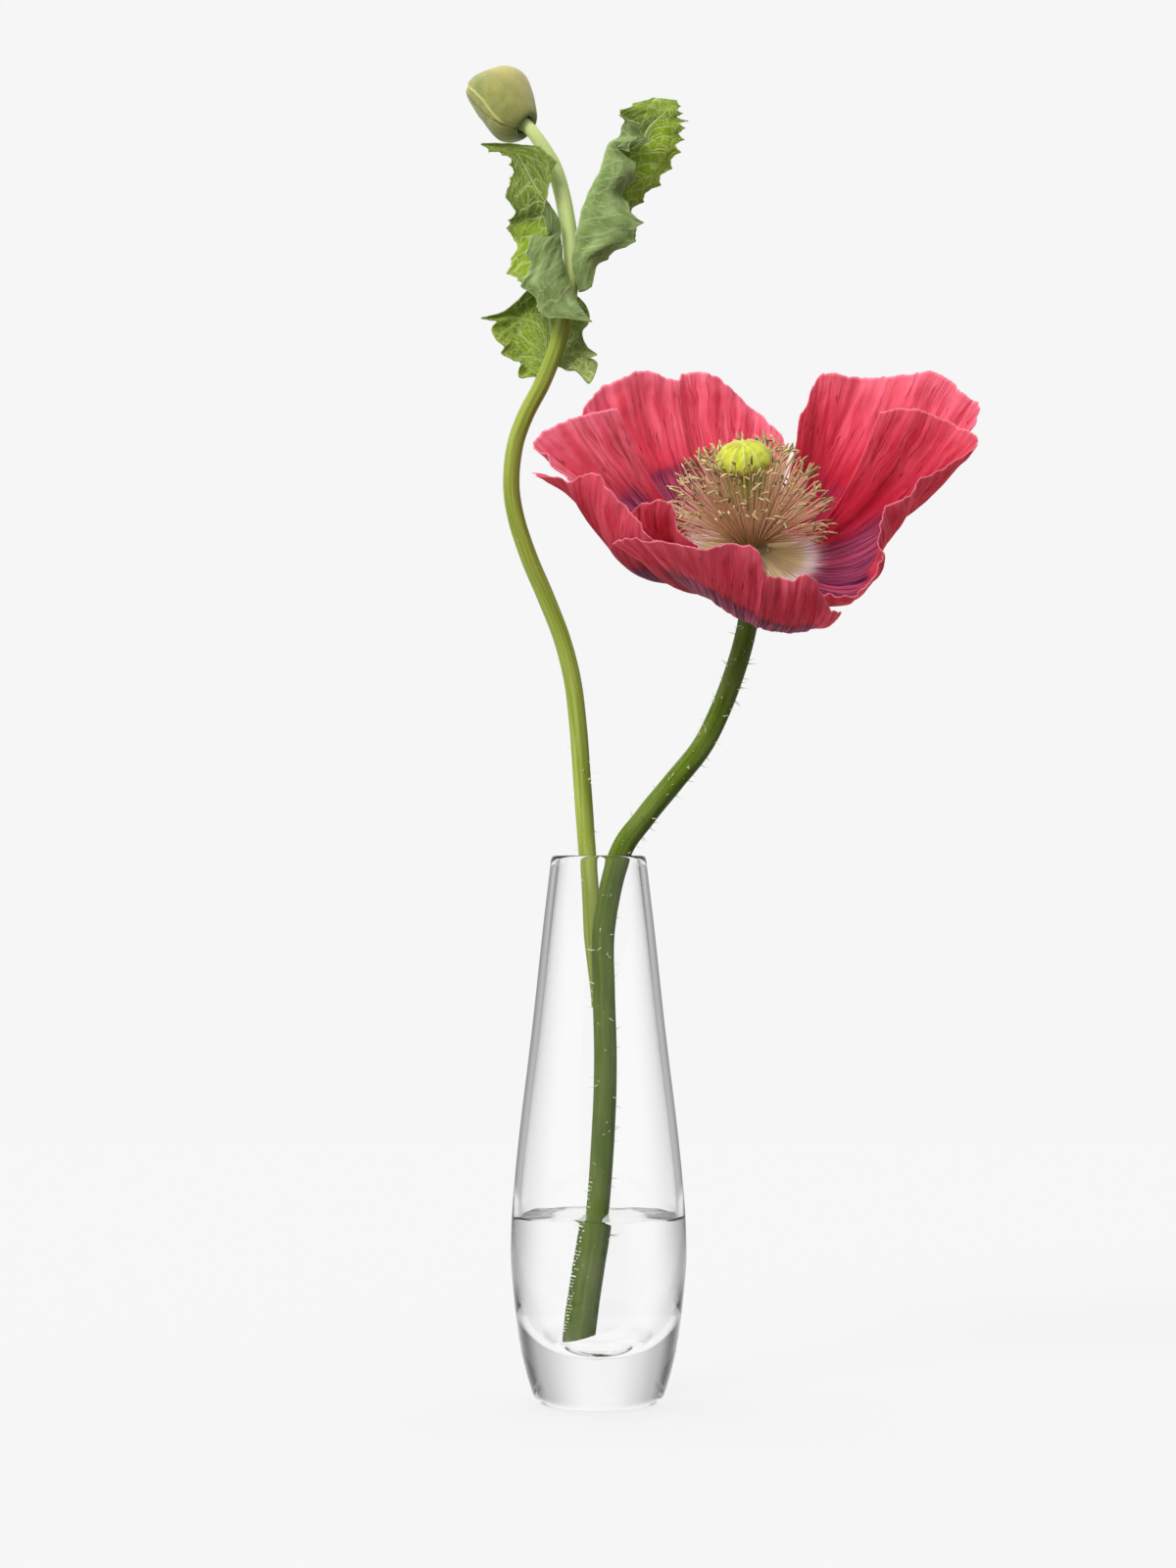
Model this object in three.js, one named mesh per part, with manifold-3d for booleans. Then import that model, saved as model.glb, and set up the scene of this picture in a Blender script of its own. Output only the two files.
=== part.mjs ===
// A poppy in a glass bud vase: one open flower and one nodding bud with three leaves, in a little water.
// Millimetres, +Z up, origin at the centre of the vase's foot, on the surface that it stands on.
import * as THREE from "three";
import { mergeVertices } from "three/addons/utils/BufferGeometryUtils.js";
import Module from "manifold-3d";

// Driving dimensions
const vaseHeight = 170;
const footRadius = 17;
const rimRadius = 14.8;
const wallThickness = 3.1;
const waterLevel = 59;
const gap = 0.3; // between pieces that touch
const flowerStemRadius = 3.3;
const budStemRadius = 2.6;
const receptacleRadius = 5;
const petalThickness = 0.7;
const leafThickness = 0.7;
const bloomCentre = new THREE.Vector3(47.2, -4, 256.7); // where the receptacle enters the cup of petals
const bloomTilt = 28; // degrees towards the front
const receptacleHeight = 11; // above the bloom's centre
const pistilLean = -5.5; // degrees towards the left, of the pistil and its stamens
const budLength = 23.4;
const budBase = new THREE.Vector3(-24, 5.4, 399.1);
const budRadius = 10;
const budTilt = [-25, -52.5]; // degrees towards the front and the left
const capsuleRadius = 6.6;
const stigmaRadius = 8.5;
const pistilHeight = 33.7; // above the receptacle
const leafOrigin = new THREE.Vector3(-9.4, 6, 350.5); // on the bud's stem, where the upper leaves part

const wasm = await Module();
wasm.setup();

const vector = (x, y, z) => new THREE.Vector3(x, y, z);
const radians = THREE.MathUtils.degToRad;
const { lerp, smoothstep } = THREE.MathUtils;

// A repeatable draw between 0 and 1
function seededDraw(seed) {
  let state = seed;
  return () => {
    state = (state * 1664525 + 1013904223) % 4294967296;
    return state / 4294967296;
  };
}

const finishes = {
  clearGlass: [0xeef2f3, 0.03, 0],
  water: [0xf2f7f8, 0.05, 0],
  flowerStem: [0x4c6b22, 0.55, 0],
  budStem: [0x94a83a, 0.55, 0],
  leaf: [0x6f9048, 0.6, 0],
  bud: [0x9c9c52, 0.65, 0],
  petal: [0xd63250, 0.6, 0],
  stamen: [0xb89a68, 0.7, 0],
  pistil: [0xc3c83a, 0.6, 0],
};

function finish(name) {
  const [color, roughness, metalness] = finishes[name];
  return new THREE.MeshStandardMaterial({ name, color, roughness, metalness });
}

// Closed geometry from points and triangles, turned so that its faces point out
function closedSolid(points, triangles) {
  let volume = 0;
  for (let i = 0; i < triangles.length; i += 3) {
    const [a, b, c] = [0, 1, 2].map((k) => points[triangles[i + k]]);
    volume += a.dot(b.clone().cross(c)) / 6;
  }
  const index = volume > 0 ? triangles : triangles.toReversed();
  const geometry = new THREE.BufferGeometry().setFromPoints(points);
  geometry.setIndex(index);
  geometry.computeVertexNormals();
  return geometry;
}

// A solid through a row of rings with the same number of points, closed at both ends
function loftSolid(rings) {
  const sides = rings[0].length;
  const points = rings.flat();
  const triangles = [];
  for (let i = 0; i + 1 < rings.length; i++) {
    for (let j = 0; j < sides; j++) {
      const next = (j + 1) % sides;
      const [a, b] = [i * sides + j, i * sides + next];
      triangles.push(a, b, b + sides, a, b + sides, a + sides);
    }
  }
  const last = points.length - sides;
  for (let j = 1; j + 1 < sides; j++) {
    triangles.push(0, j + 1, j, last, last + j, last + j + 1);
  }
  return closedSolid(points, triangles);
}

// A tube along a curve, with its radius given by the share of the way along
function tubeSolid(curve, radiusAt, { steps, sides }) {
  const rings = [];
  let across = null;
  for (let i = 0; i <= steps; i++) {
    const share = i / steps;
    const centre = curve.getPoint(share);
    const tangent = curve.getTangent(share);
    const start = across ?? vector(1, 0, 0);
    across = start.clone().addScaledVector(tangent, -start.dot(tangent)).normalize();
    const up = tangent.clone().cross(across);
    const radius = radiusAt(share);
    rings.push(Array.from({ length: sides }, (_, j) => {
      const turn = (2 * Math.PI * j) / sides;
      return centre.clone()
        .addScaledVector(across, radius * Math.cos(turn))
        .addScaledVector(up, radius * Math.sin(turn));
    }));
  }
  return loftSolid(rings);
}

const positionsOnly = (geometry) => {
  const bare = geometry.index ? geometry.toNonIndexed() : geometry.clone();
  const kept = new THREE.BufferGeometry();
  kept.setAttribute("position", bare.getAttribute("position"));
  return mergeVertices(kept, 1e-4);
};

function toManifold(geometry) {
  const merged = positionsOnly(geometry);
  return new wasm.Manifold(new wasm.Mesh({
    numProp: 3,
    vertProperties: merged.attributes.position.array,
    triVerts: new Uint32Array(merged.index.array),
  }));
}

function fromManifold(solid) {
  const mesh = solid.getMesh();
  const places = new Float32Array(mesh.numVert * 3);
  for (let i = 0; i < mesh.numVert; i++) {
    places.set(mesh.vertProperties.subarray(i * mesh.numProp, i * mesh.numProp + 3), i * 3);
  }
  const geometry = new THREE.BufferGeometry();
  geometry.setAttribute("position", new THREE.BufferAttribute(places, 3));
  geometry.setIndex(new THREE.BufferAttribute(mesh.triVerts, 1));
  geometry.computeVertexNormals();
  return geometry;
}

const largestBody = (solid) =>
  solid.decompose().sort((a, b) => b.volume() - a.volume())[0];

// A thin blade on a surface point(u, v), 0 to 1 each way, triangulated alike on both faces
function bladeSolid(point, { along, across, thickness }) {
  const step = 1e-3;
  const slope = (u, v, du, dv) => {
    const ahead = point(Math.min(u + du, 1), Math.min(v + dv, 1));
    return ahead.sub(point(Math.max(u - du, 0), Math.max(v - dv, 0)));
  };
  const columns = across + 1;
  const front = [];
  const back = [];
  for (let i = 0; i <= along; i++) {
    for (let j = 0; j <= across; j++) {
      const [u, v] = [i / along, j / across];
      const normal = slope(u, v, step, 0).cross(slope(u, v, 0, step)).normalize();
      const middle = point(u, v);
      front.push(middle.clone().addScaledVector(normal, thickness / 2));
      back.push(middle.clone().addScaledVector(normal, -thickness / 2));
    }
  }
  const triangles = [];
  const quad = (a, b, c, d) => triangles.push(a, b, c, a, c, d);
  const other = front.length;
  for (let i = 0; i < along; i++) {
    for (let j = 0; j < across; j++) {
      const a = i * columns + j;
      const [b, c, d] = [a + 1, a + columns + 1, a + columns];
      triangles.push(a, d, c, a, c, b);
      triangles.push(other + a, other + c, other + d, other + a, other + b, other + c);
    }
  }
  const edge = [];
  for (let j = 0; j < across; j++) edge.push(j);
  for (let i = 0; i < along; i++) edge.push(i * columns + across);
  for (let j = across; j > 0; j--) edge.push(along * columns + j);
  for (let i = along; i > 0; i--) edge.push(i * columns);
  edge.forEach((a, k) => {
    const b = edge[(k + 1) % edge.length];
    quad(a, b, other + b, other + a);
  });
  return closedSolid([...front, ...back], triangles);
}

// The vase: a thick clear bottom, a full belly and a narrow neck
const vaseOutside = new THREE.SplineCurve([
  [footRadius + 3.9, 4.4], [22.8, 11], [25, 21.6], [26.8, 38], [27.3, 48], [26.6, 63],
  [24.4, 85.6], [20.7, 116], [17.4, 146.5], [rimRadius, vaseHeight - 1.4],
].map(([r, z]) => new THREE.Vector2(r, z)));

const vaseInside = new THREE.SplineCurve([
  [0, 16.4], [6, 17.1], [11.4, 19.8], [15, 23.9], [17.8, 30], [20.8, 38], [23.2, 49], [23.6, 63],
  [21.3, 85.6], [17.6, 116], [14.3, 146.5], [rimRadius - wallThickness, vaseHeight - 1.4],
].map(([r, z]) => new THREE.Vector2(r, z))).getPoints(18);
const turnedSides = 28;

function makeVase() {
  const footCorner = [new THREE.Vector2(footRadius, 0), new THREE.Vector2(footRadius + 2.4, 1.3)];
  const rimTop = new THREE.Vector2(rimRadius - wallThickness / 2, vaseHeight);
  const profile = [
    new THREE.Vector2(0, 0),
    ...footCorner,
    ...vaseOutside.getPoints(9),
    rimTop,
    ...vaseInside.toReversed(),
  ];
  return new THREE.LatheGeometry(profile, turnedSides).rotateX(Math.PI / 2);
}

// Stems: points along the middle line, from the cut end up
const curveThrough = (list) =>
  new THREE.CatmullRomCurve3(list.map((p) => vector(...p)), false, "catmullrom", 0.5);

const bloomAxis = vector(0, 0, 1).applyAxisAngle(vector(1, 0, 0), radians(bloomTilt));
const heartClearance = 0.5; // of the leaning stamens' foot over the stem
const receptacleTop = bloomCentre.clone().addScaledVector(bloomAxis, receptacleHeight - heartClearance);
const flowerStemLine = curveThrough([
  [-4.9, 3.6, 15.5], [-2.9, 4.6, 36], [-0.4, 3.8, 58], [1.5, 2.2, 85.6], [2.1, 0.6, 106], [1.6, -1.2, 128],
  [1.7, -2.8, 148], [6.4, -4.6, 170], [14.2, -5.4, 181.8], [23.1, -4.4, 192.6], [31.8, -1.6, 203.4],
  [37.5, 1.4, 214.4], [42, 4, 226], [45.3, 4.6, 237], [47, 1.5, 246.3], [47.2, -3.7, 256.1],
  receptacleTop.toArray(),
]);
const stemTaper = [1.12, 0.92]; // at the cut end and at the bloom, as shares of the stem's radius

function flowerStemRadiusAt(share) {
  const plain = flowerStemRadius * lerp(...stemTaper, share);
  return lerp(plain, receptacleRadius, smoothstep(share, 0.876, 0.909));
}

const budStemLine = curveThrough([
  [-1.2, 5.6, 122.5], [-1.9, 6.6, 143], [-2.7, 7.6, 160], [-4, 8.6, 177], [-5.2, 9.8, 194],
  [-6.4, 11, 210.4], [-8.2, 12, 225], [-11.6, 12.4, 238.4], [-16.7, 12.2, 251.5], [-21.9, 11.4, 263.7],
  [-25.9, 10.4, 275.9], [-27.4, 9.4, 286.5], [-26.2, 8.4, 298.1], [-22.8, 7.4, 307.8], [-17.7, 6.6, 317.6],
  [-13.7, 6.2, 327.6], [-10.9, 6, 337], [-9, 6, 347.4], [-8.4, 6, 356], [-9.4, 6, 366],
  [-11.3, 6, 376.4], [-13.8, 5.4, 384.7], [-16.8, 4.5, 390.4], [-19.8, 4, 394.9], [-22.3, 4.5, 397.9],
  budBase.toArray(),
]);

function budStemRadiusAt(share) {
  const drawnOut = lerp(0.35, 1, smoothstep(share, 0, 0.05)); // the cut end comes to a point
  const waist = 1 - 0.16 * smoothstep(share, 0.82, 0.93) + 0.12 * smoothstep(share, 0.96, 1);
  return budStemRadius * lerp(1.08, 0.94, share) * drawnOut * waist;
}

const cutCentre = [-4.6, 4, 20.2]; // of the stem's slanted end
const cutTilt = -20; // degrees, higher on the right

function makeFlowerStem() {
  const tube = tubeSolid(flowerStemLine, flowerStemRadiusAt, { steps: 42, sides: 8 });
  const depth = 10;
  const slant = new THREE.BoxGeometry(30, 30, depth)
    .translate(0, 0, -depth / 2)
    .rotateY(radians(cutTilt))
    .translate(...cutCentre);
  return fromManifold(largestBody(toManifold(tube).subtract(toManifold(slant))));
}

const makeBudStem = () => tubeSolid(budStemLine, budStemRadiusAt, { steps: 50, sides: 7 });

// The water fills the bowl round the flower's stem, which stands in a plain hole
function makeWater() {
  const rimLevel = waterLevel + 0.5; // the water climbs a little at the glass
  const under = vaseInside.filter(({ y }) => y < waterLevel);
  const wall = under.map(({ x, y }) => {
    const lift = gap * smoothstep(-y, -40, -20); // clear of the glass below as well as beside
    return new THREE.Vector2(Math.max(x - gap, 0), y + lift);
  });
  const [below, above] = [under.at(-1), vaseInside[under.length]];
  const edge = lerp(below.x, above.x, (rimLevel - below.y) / (above.y - below.y)) - gap;
  const surface = [[edge, rimLevel], [edge - 1.5, waterLevel], [0, waterLevel]];
  const profile = [...wall, ...surface.map(([r, z]) => new THREE.Vector2(r, z))];
  const body = new THREE.LatheGeometry(profile, turnedSides).rotateX(Math.PI / 2);
  const shares = [0, 0.06, 0.12, 0.18, 0.24]; // of the stem's line, past the water's surface
  const holeLine = curveThrough(shares.map((share) => flowerStemLine.getPoint(share).toArray()));
  const holeRadius = flowerStemRadius * stemTaper[0] + 2 * gap;
  const hole = tubeSolid(holeLine, () => holeRadius, { steps: 12, sides: 9 });
  return fromManifold(largestBody(toManifold(body).subtract(toManifold(hole))));
}

// The bud: two sepals that meet along a seam, hollow at the base where the stem enters
function makeSepals() {
  const side = new THREE.SplineCurve([
    [3.3, -1.2], [4.8, -1.9], [6.9, 0.2], [8.8, 3.4], [9.9, 7.6], [budRadius, 11], [9.1, 15], [7, 18.6],
    [4.7, 21.6], [2.2, 23.2],
  ].map(([r, z]) => new THREE.Vector2(r, z)));
  const profile = [
    new THREE.Vector2(0, gap),
    new THREE.Vector2(3.1, gap),
    ...side.getPoints(11),
    new THREE.Vector2(0, budLength),
  ];
  const whole = new THREE.LatheGeometry(profile, 18).rotateX(Math.PI / 2).scale(1, 0.95, 1);
  const places = whole.getAttribute("position");
  for (let i = 0; i < places.count; i++) {
    const height = places.getZ(i);
    const bulge = 3.6 * smoothstep(height, 0, 13) - 1.8 * smoothstep(height, 15, budLength); // fuller above
    places.setX(i, places.getX(i) + bulge);
  }
  const seamTurn = radians(-38); // of the seam round the bud
  const seam = new THREE.BoxGeometry(gap, 60, 80).rotateZ(seamTurn);
  const notch = new THREE.BoxGeometry(1.2, 60, 3).translate(0.8, 0, budLength).rotateZ(seamTurn);
  const halves = toManifold(whole).subtract(toManifold(seam)).subtract(toManifold(notch)).decompose();
  const across = (half) => half.boundingBox().max[0] + half.boundingBox().min[0];
  return halves
    .filter((half) => half.volume() > 10)
    .sort((a, b) => across(b) - across(a))
    .map(fromManifold);
}

// A petal is a fan of ribs round the receptacle, each a curve from the claw down to the floor of the
// cup, up its belly and to the rim. A rib: [angle, reach, rise, belly reach, belly rise, floor rise].
const clawRise = 11; // of the petals' foot above their floor level
function petalSurface({ level, claw, floor, ribs, waves }) {
  const curves = [0, 1, 2, 3, 4, 5].map((k) => curveThrough(ribs.map((rib) => [rib[k], 0, 0])));
  const flat = (u, v) => {
    const [angle, reach, rise, bellyReach, bellyRise, floorRise] = curves.map((c) => c.getPoint(v).x);
    const profile = new THREE.CubicBezierCurve(
      new THREE.Vector2(receptacleRadius + gap, level + clawRise),
      new THREE.Vector2(floor * bellyReach, level + floorRise),
      new THREE.Vector2(bellyReach, bellyRise),
      new THREE.Vector2(reach, rise),
    ).getPoint(u);
    const turn = radians(lerp(lerp(claw[0], claw[1], v), angle, u ** 0.8));
    return vector(profile.x * Math.cos(turn), profile.x * Math.sin(turn), profile.y);
  };
  return (u, v) => {
    const place = flat(u, v);
    const reach = Math.hypot(place.x, place.y) || 1;
    const wave = waves.reduce((sum, [size, count, shift]) =>
      sum + size * Math.sin(2 * Math.PI * (count * v + shift)), 0) * u ** 2.2;
    return place.add(vector(-place.x / reach, -place.y / reach, 0.5).multiplyScalar(wave));
  };
}

const frontLevel = -3.4;
const outerLevel = -3;
const innerLevel = -1.9;
const petals = {
  petal_back_left: {
    level: outerLevel, claw: [150, 78], floor: 0.55, along: 8, across: 20,
    waves: [[0.9, 5, 0], [0.5, 8, 0.3]],
    ribs: [
      [156, 60, 41, 50, 13, 5], [149, 57, 48, 49, 15, 5], [140, 54.5, 51, 47, 16, 5],
      [128, 52, 52, 46, 16, 5], [118, 50, 47.5, 45, 15, 5], [113, 49.5, 49.5, 44, 15, 5],
      [101, 48, 47, 42, 14, 5], [89, 46, 37.5, 39, 11, 5], [76, 41, 31.5, 33, 9, 5],
      [69, 33.5, 28, 27, 8, 5],
    ],
  },
  petal_back_right: {
    level: outerLevel, claw: [70, 24], floor: 0.55, along: 8, across: 16,
    waves: [[0.9, 4, 0.2], [0.5, 7, 0]],
    ribs: [
      [62, 34, 39, 27, 12, 5], [64, 44, 46, 34, 14, 5], [61, 51, 49.5, 38, 15, 5],
      [54, 58, 47.5, 43, 14, 5], [43, 64, 49, 48, 15, 5], [34, 69, 52.5, 52, 16, 5],
      [26, 75, 47.5, 55, 14, 5], [21, 76, 45, 56, 13, 5], [17, 71.5, 40.5, 53, 12, 5],
    ],
  },
  petal_left: {
    level: innerLevel, claw: [152, 186.5], floor: 0.5, along: 8, across: 12,
    waves: [[0.5, 3, 0.1], [0.4, 6, 0.4]],
    ribs: [
      [151.5, 48.2, 46.5, 32, 15.5, 5], [161, 53.3, 47, 37, 17, 5], [170, 59, 47.3, 42, 18, 5],
      [179, 66.6, 45, 46, 20, 5], [184, 63.5, 41.5, 43, 23, 5], [189, 58, 36.5, 38, 24, 5],
      [193, 52.5, 33.5, 34, 23, 5],
    ],
  },
  petal_front_left: {
    level: innerLevel, claw: [190, 230], floor: 0.68, along: 8, across: 14,
    waves: [[0.7, 4, 0.3]],
    ribs: [
      [186, 68.5, 37.5, 50, 36, 0], [190.5, 64, 38.5, 52, 29, -1], [195, 58.5, 38, 54, 22, -2],
      [198, 53, 41.5, 56, 20, -3], [205, 49, 39.6, 57, 19, -4], [215, 47.2, 34, 53, 18, -3],
      [226, 46, 28, 43, 19, -4], [233, 45, 25, 40, 18, -4],
    ],
  },
  petal_inner: {
    level: -0.8, claw: [206, 236], floor: 0.68, along: 6, across: 8,
    waves: [[0.5, 2, 0.1]],
    ribs: [
      [206, 42.5, 29, 42, 15, 6], [213, 40.7, 34, 40, 15, 6], [219, 38, 35.8, 39, 14, 6],
      [225, 36.6, 34, 37, 14, 6], [230, 36.3, 29, 36, 13, 6], [239, 34, 23, 34, 12, 6],
    ],
  },
  petal_front: {
    level: frontLevel, claw: [233, 300], floor: 0.68, along: 8, across: 22,
    waves: [[0.8, 5, 0.2], [0.4, 9, 0]],
    ribs: [
      [224, 60.6, 28.3, 46, 20, -5], [228, 59, 32.4, 46, 21, -5], [236, 58, 32, 47, 20, -5],
      [249, 57, 33, 50, 18, -5], [260, 55, 34, 54, 13, -7], [269, 55, 33, 55, 9, -8],
      [273, 54, 25, 55, 7, -8], [280, 55, 22.5, 56, 3, -8.4], [285, 55, 25, 57, 2, -8.4],
      [290, 53.5, 18.5, 54, 1, -8], [295, 52, 10.7, 50, 1, -7], [301.5, 50.4, 6.6, 47, 0, -6],
    ],
  },
  petal_right: {
    level: innerLevel, claw: [22, -61], floor: 0.6, along: 8, across: 24,
    waves: [[0.7, 6, 0.1], [0.4, 10, 0.3]],
    ribs: [
      [23, 43.8, 47.6, 32, 17, 5], [16.6, 52.6, 49.8, 38, 18, 5], [10, 64, 45.4, 45, 17, 4],
      [5, 69, 43.7, 48, 17, 3], [-2, 60, 38, 49, 21, 2], [-9, 52, 35.6, 49, 22, 0],
      [-19, 47, 33, 50, 19, -2], [-29, 44, 28.7, 50, 15, -3], [-36, 46, 22.3, 49, 11, -3],
      [-39.5, 50, 18.4, 49, 8, -3], [-48, 49, 13.6, 46, 4, -2], [-53, 47, 9.8, 43.5, 3, -1.5],
      [-60, 41, 10, 37, 6, -1], [-66, 35, 11, 31, 7.5, 0],
    ],
  },
};

// The stamens: a low cone round the pistil's stalk, with five rows of thin filaments that end in
// curled anthers. A row: [number, foot radius, foot height, share of the way from low to steep].
const stamenRows = [
  [21, 4.3, 0.7, 0],
  [19, 4.05, 1.2, 0.27],
  [17, 3.8, 1.7, 0.52],
  [15, 3.55, 2.1, 0.76],
  [13, 3.3, 2.5, 1],
];
const lowestStamen = { side: 9, left: 7, back: 20, front: 40 }; // degrees, the last three added there
const steepestStamen = 67;

function makeStamens() {
  const draw = seededDraw(11);
  const ringProfile = [[2.95, gap], [4.7, gap], [4.5, 0.9], [3.4, 2.8], [2.95, 2.8], [2.95, gap]]
    .map(([r, z]) => new THREE.Vector2(r, z));
  let joined = toManifold(new THREE.LatheGeometry(ringProfile, 16).rotateX(Math.PI / 2));
  stamenRows.forEach(([number, footRing, footHeight, steepness], row) => {
    for (let i = 0; i < number; i++) {
      const turn = (2 * Math.PI * (i + row / 2 + (draw() - 0.5) * 0.5)) / number;
      const [behind, before] = [Math.max(Math.sin(turn), 0), Math.max(-Math.sin(turn), 0)];
      const sideways = lowestStamen.side - lowestStamen.left * Math.cos(turn);
      const lowest = sideways + lowestStamen.back * behind + lowestStamen.front * before ** 1.3;
      const elevation = radians(lerp(lowest, steepestStamen, steepness) + (draw() - 0.5) * 4);
      const length = 19 + 13 * Math.sin(elevation) + (draw() - 0.5) * 3;
      const out = vector(Math.cos(turn), Math.sin(turn), 0);
      const aside = vector(-Math.sin(turn), Math.cos(turn), 0);
      const at = (share, drift) => out.clone()
        .multiplyScalar(footRing + length * share * Math.cos(elevation))
        .addScaledVector(aside, drift)
        .add(vector(0, 0, footHeight + length * share * Math.sin(elevation)));
      const curl = (draw() - 0.5) * 3;
      const tip = at(1, curl * 0.3);
      const end = tip.clone()
        .addScaledVector(out, 1.4 * draw())
        .addScaledVector(aside, curl)
        .add(vector(0, 0, 1 - draw()));
      const line = curveThrough([at(-0.02, 0), at(0.9, curl * 0.2), tip, end].map((p) => p.toArray()));
      const radii = [0.45, 0.4, 0.85, 0.5];
      const stamen = tubeSolid(line, (share) => radii[Math.round(share * 3)], { steps: 3, sides: 3 });
      joined = joined.add(toManifold(stamen));
    }
  });
  return fromManifold(largestBody(joined));
}

// The pistil: a round capsule on a short stalk, under a ridged stigma
function makePistil() {
  const side = new THREE.SplineCurve([
    [2.4, gap], [2.5, 2], [3.1, 4.6], [4.5, 8.6], [5.8, 13.2], [capsuleRadius, 17.6], [6.4, 22],
    [5.9, 24.8], [7.8, 25.8], [stigmaRadius, 27.4], [8.1, 29.4], [6.5, 31.5], [3.6, 33.1],
  ].map(([r, z]) => new THREE.Vector2(r, z)));
  const profile = [new THREE.Vector2(0, gap), ...side.getPoints(12), new THREE.Vector2(0, pistilHeight)];
  const rays = 12;
  const geometry = new THREE.LatheGeometry(profile, rays * 2).rotateX(Math.PI / 2);
  const places = geometry.getAttribute("position");
  for (let i = 0; i < places.count; i++) {
    const [x, y, z] = [places.getX(i), places.getY(i), places.getZ(i)];
    const ridge = 0.045 * smoothstep(z, 25, 27) * Math.cos(rays * Math.atan2(y, x));
    places.setXY(i, x * (1 + ridge), y * (1 + ridge));
  }
  return positionsOnly(geometry);
}

// A leaf blade through a net of points: rows from its base to its tip, each from margin to margin.
// The points are taken from the leaf origin.
function netSurface(net) {
  const rows = net.map((row) => curveThrough(row));
  return (u, v) => new THREE.CatmullRomCurve3(rows.map((row) => row.getPoint(v))).getPoint(u);
}

// Uneven teeth stand out of the margins at v = 0 and v = 1, and the blade ruffles there
function toothedSurface(plain, { teeth, depth, ruffle }) {
  const draw = seededDraw(teeth);
  const sizes = Array.from({ length: 2 * teeth + 2 }, () => depth * (0.45 + draw()));
  return (u, v) => {
    const outer = Math.abs(2 * v - 1);
    const inward = v < 0.5 ? 0.03 : -0.03;
    const place = plain(u, v);
    const outwards = place.clone().sub(plain(u, v + inward)).normalize();
    const size = sizes[2 * Math.floor(teeth * u) + (v < 0.5 ? 0 : 1)];
    const tooth = size * (1 - Math.abs(Math.cos(Math.PI * teeth * u)) - 0.35);
    const wave = ruffle * Math.sin(Math.PI * teeth * u) * outer ** 3;
    place.addScaledVector(outwards, tooth * smoothstep(outer, 0.7, 1) * smoothstep(u, 0.04, 0.12));
    place.y += wave * smoothstep(u, 0.06, 0.2) * (1 - smoothstep(u, 0.9, 1));
    return place;
  };
}

// The right leaf is folded: its near half turns back over it, and its end stands open
const rightLeafNet = [
  [
    [7.3, -6, -3.4], [5.2, -5.2, -4.6], [3.5, -2.7, -4.6], [4, -1.4, -4], [4.1, 0, -3.7],
    [4, 1.5, -3.4], [3.4, 2.8, -3],
  ],
  [
    [9.7, -7, 4], [5.2, -8.5, 4.3], [1.1, -6, 4.9], [3.6, -4.2, 5.2], [6.4, -1.5, 4.3], [8.5, 1, 6.7],
    [10.4, 3, 7.9],
  ],
  [
    [20.3, -9, 10.6], [12.2, -11, 10.7], [2.1, -7, 10.4], [6.1, -3.2, 10.7], [10, -1, 11.9],
    [13.7, 1.5, 12.8], [17, 5, 14.6],
  ],
  [
    [21.2, -8, 17.6], [12.8, -11, 17.7], [3.7, -8, 17.4], [7.9, -3.5, 18.3], [12.2, -1.5, 19.5],
    [16, 0, 20.1], [19.4, 3, 20.9],
  ],
  [
    [17, -7.6, 25], [12, -10.5, 25.3], [6.2, -8, 25.6], [10.7, -4, 26.2], [15.2, -3, 27],
    [20.2, -2, 26.6], [24.2, 0, 26],
  ],
  [
    [21.6, -9, 33], [16.1, -11.4, 32.9], [10.4, -8.5, 33.4], [14.3, -5, 33.9], [18.6, -4, 33.6],
    [24.4, -4, 32.8], [30, -2, 32.2],
  ],
  [
    [16.6, -10.2, 38.6], [14.2, -11, 40.6], [12.2, -8.8, 40], [16.4, -6.2, 39.4], [21.4, -5, 38.8],
    [27.4, -5.4, 38.4], [33.2, -4, 38],
  ],
  [
    [23.8, -11.6, 41.4], [19.8, -11.4, 42.4], [15.9, -8.8, 43], [20.6, -6.6, 43], [25, -5.8, 42.8],
    [30, -6.2, 42.8], [34.8, -5.4, 42.6],
  ],
  [
    [21.4, -13, 46.2], [19, -12, 46.4], [17, -9.2, 46.4], [21.4, -7, 46.4], [26, -6.2, 46.6],
    [30.8, -6.6, 46.6], [35.4, -6.4, 46.4],
  ],
  [
    [15.6, -12.2, 49.4], [16.8, -10.6, 49.2], [19.4, -8.4, 48.8], [23.2, -7, 49], [27.2, -6.4, 49.2],
    [31.2, -6.8, 49.2], [35, -6.8, 49],
  ],
  [
    [18.6, -8.8, 52], [20.8, -8.2, 52], [23.6, -7.4, 51.8], [26.4, -6.8, 51.8], [29.2, -6.6, 51.8],
    [31.8, -6.9, 51.8], [34.4, -7, 51.6],
  ],
  [
    [25.4, -5.6, 55.6], [26.8, -5.8, 55.6], [28.4, -6, 55.5], [29.9, -6.2, 55.3], [31.4, -6.4, 55.1],
    [32.8, -6.6, 54.9], [34.2, -6.8, 54.6],
  ],
];

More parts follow.
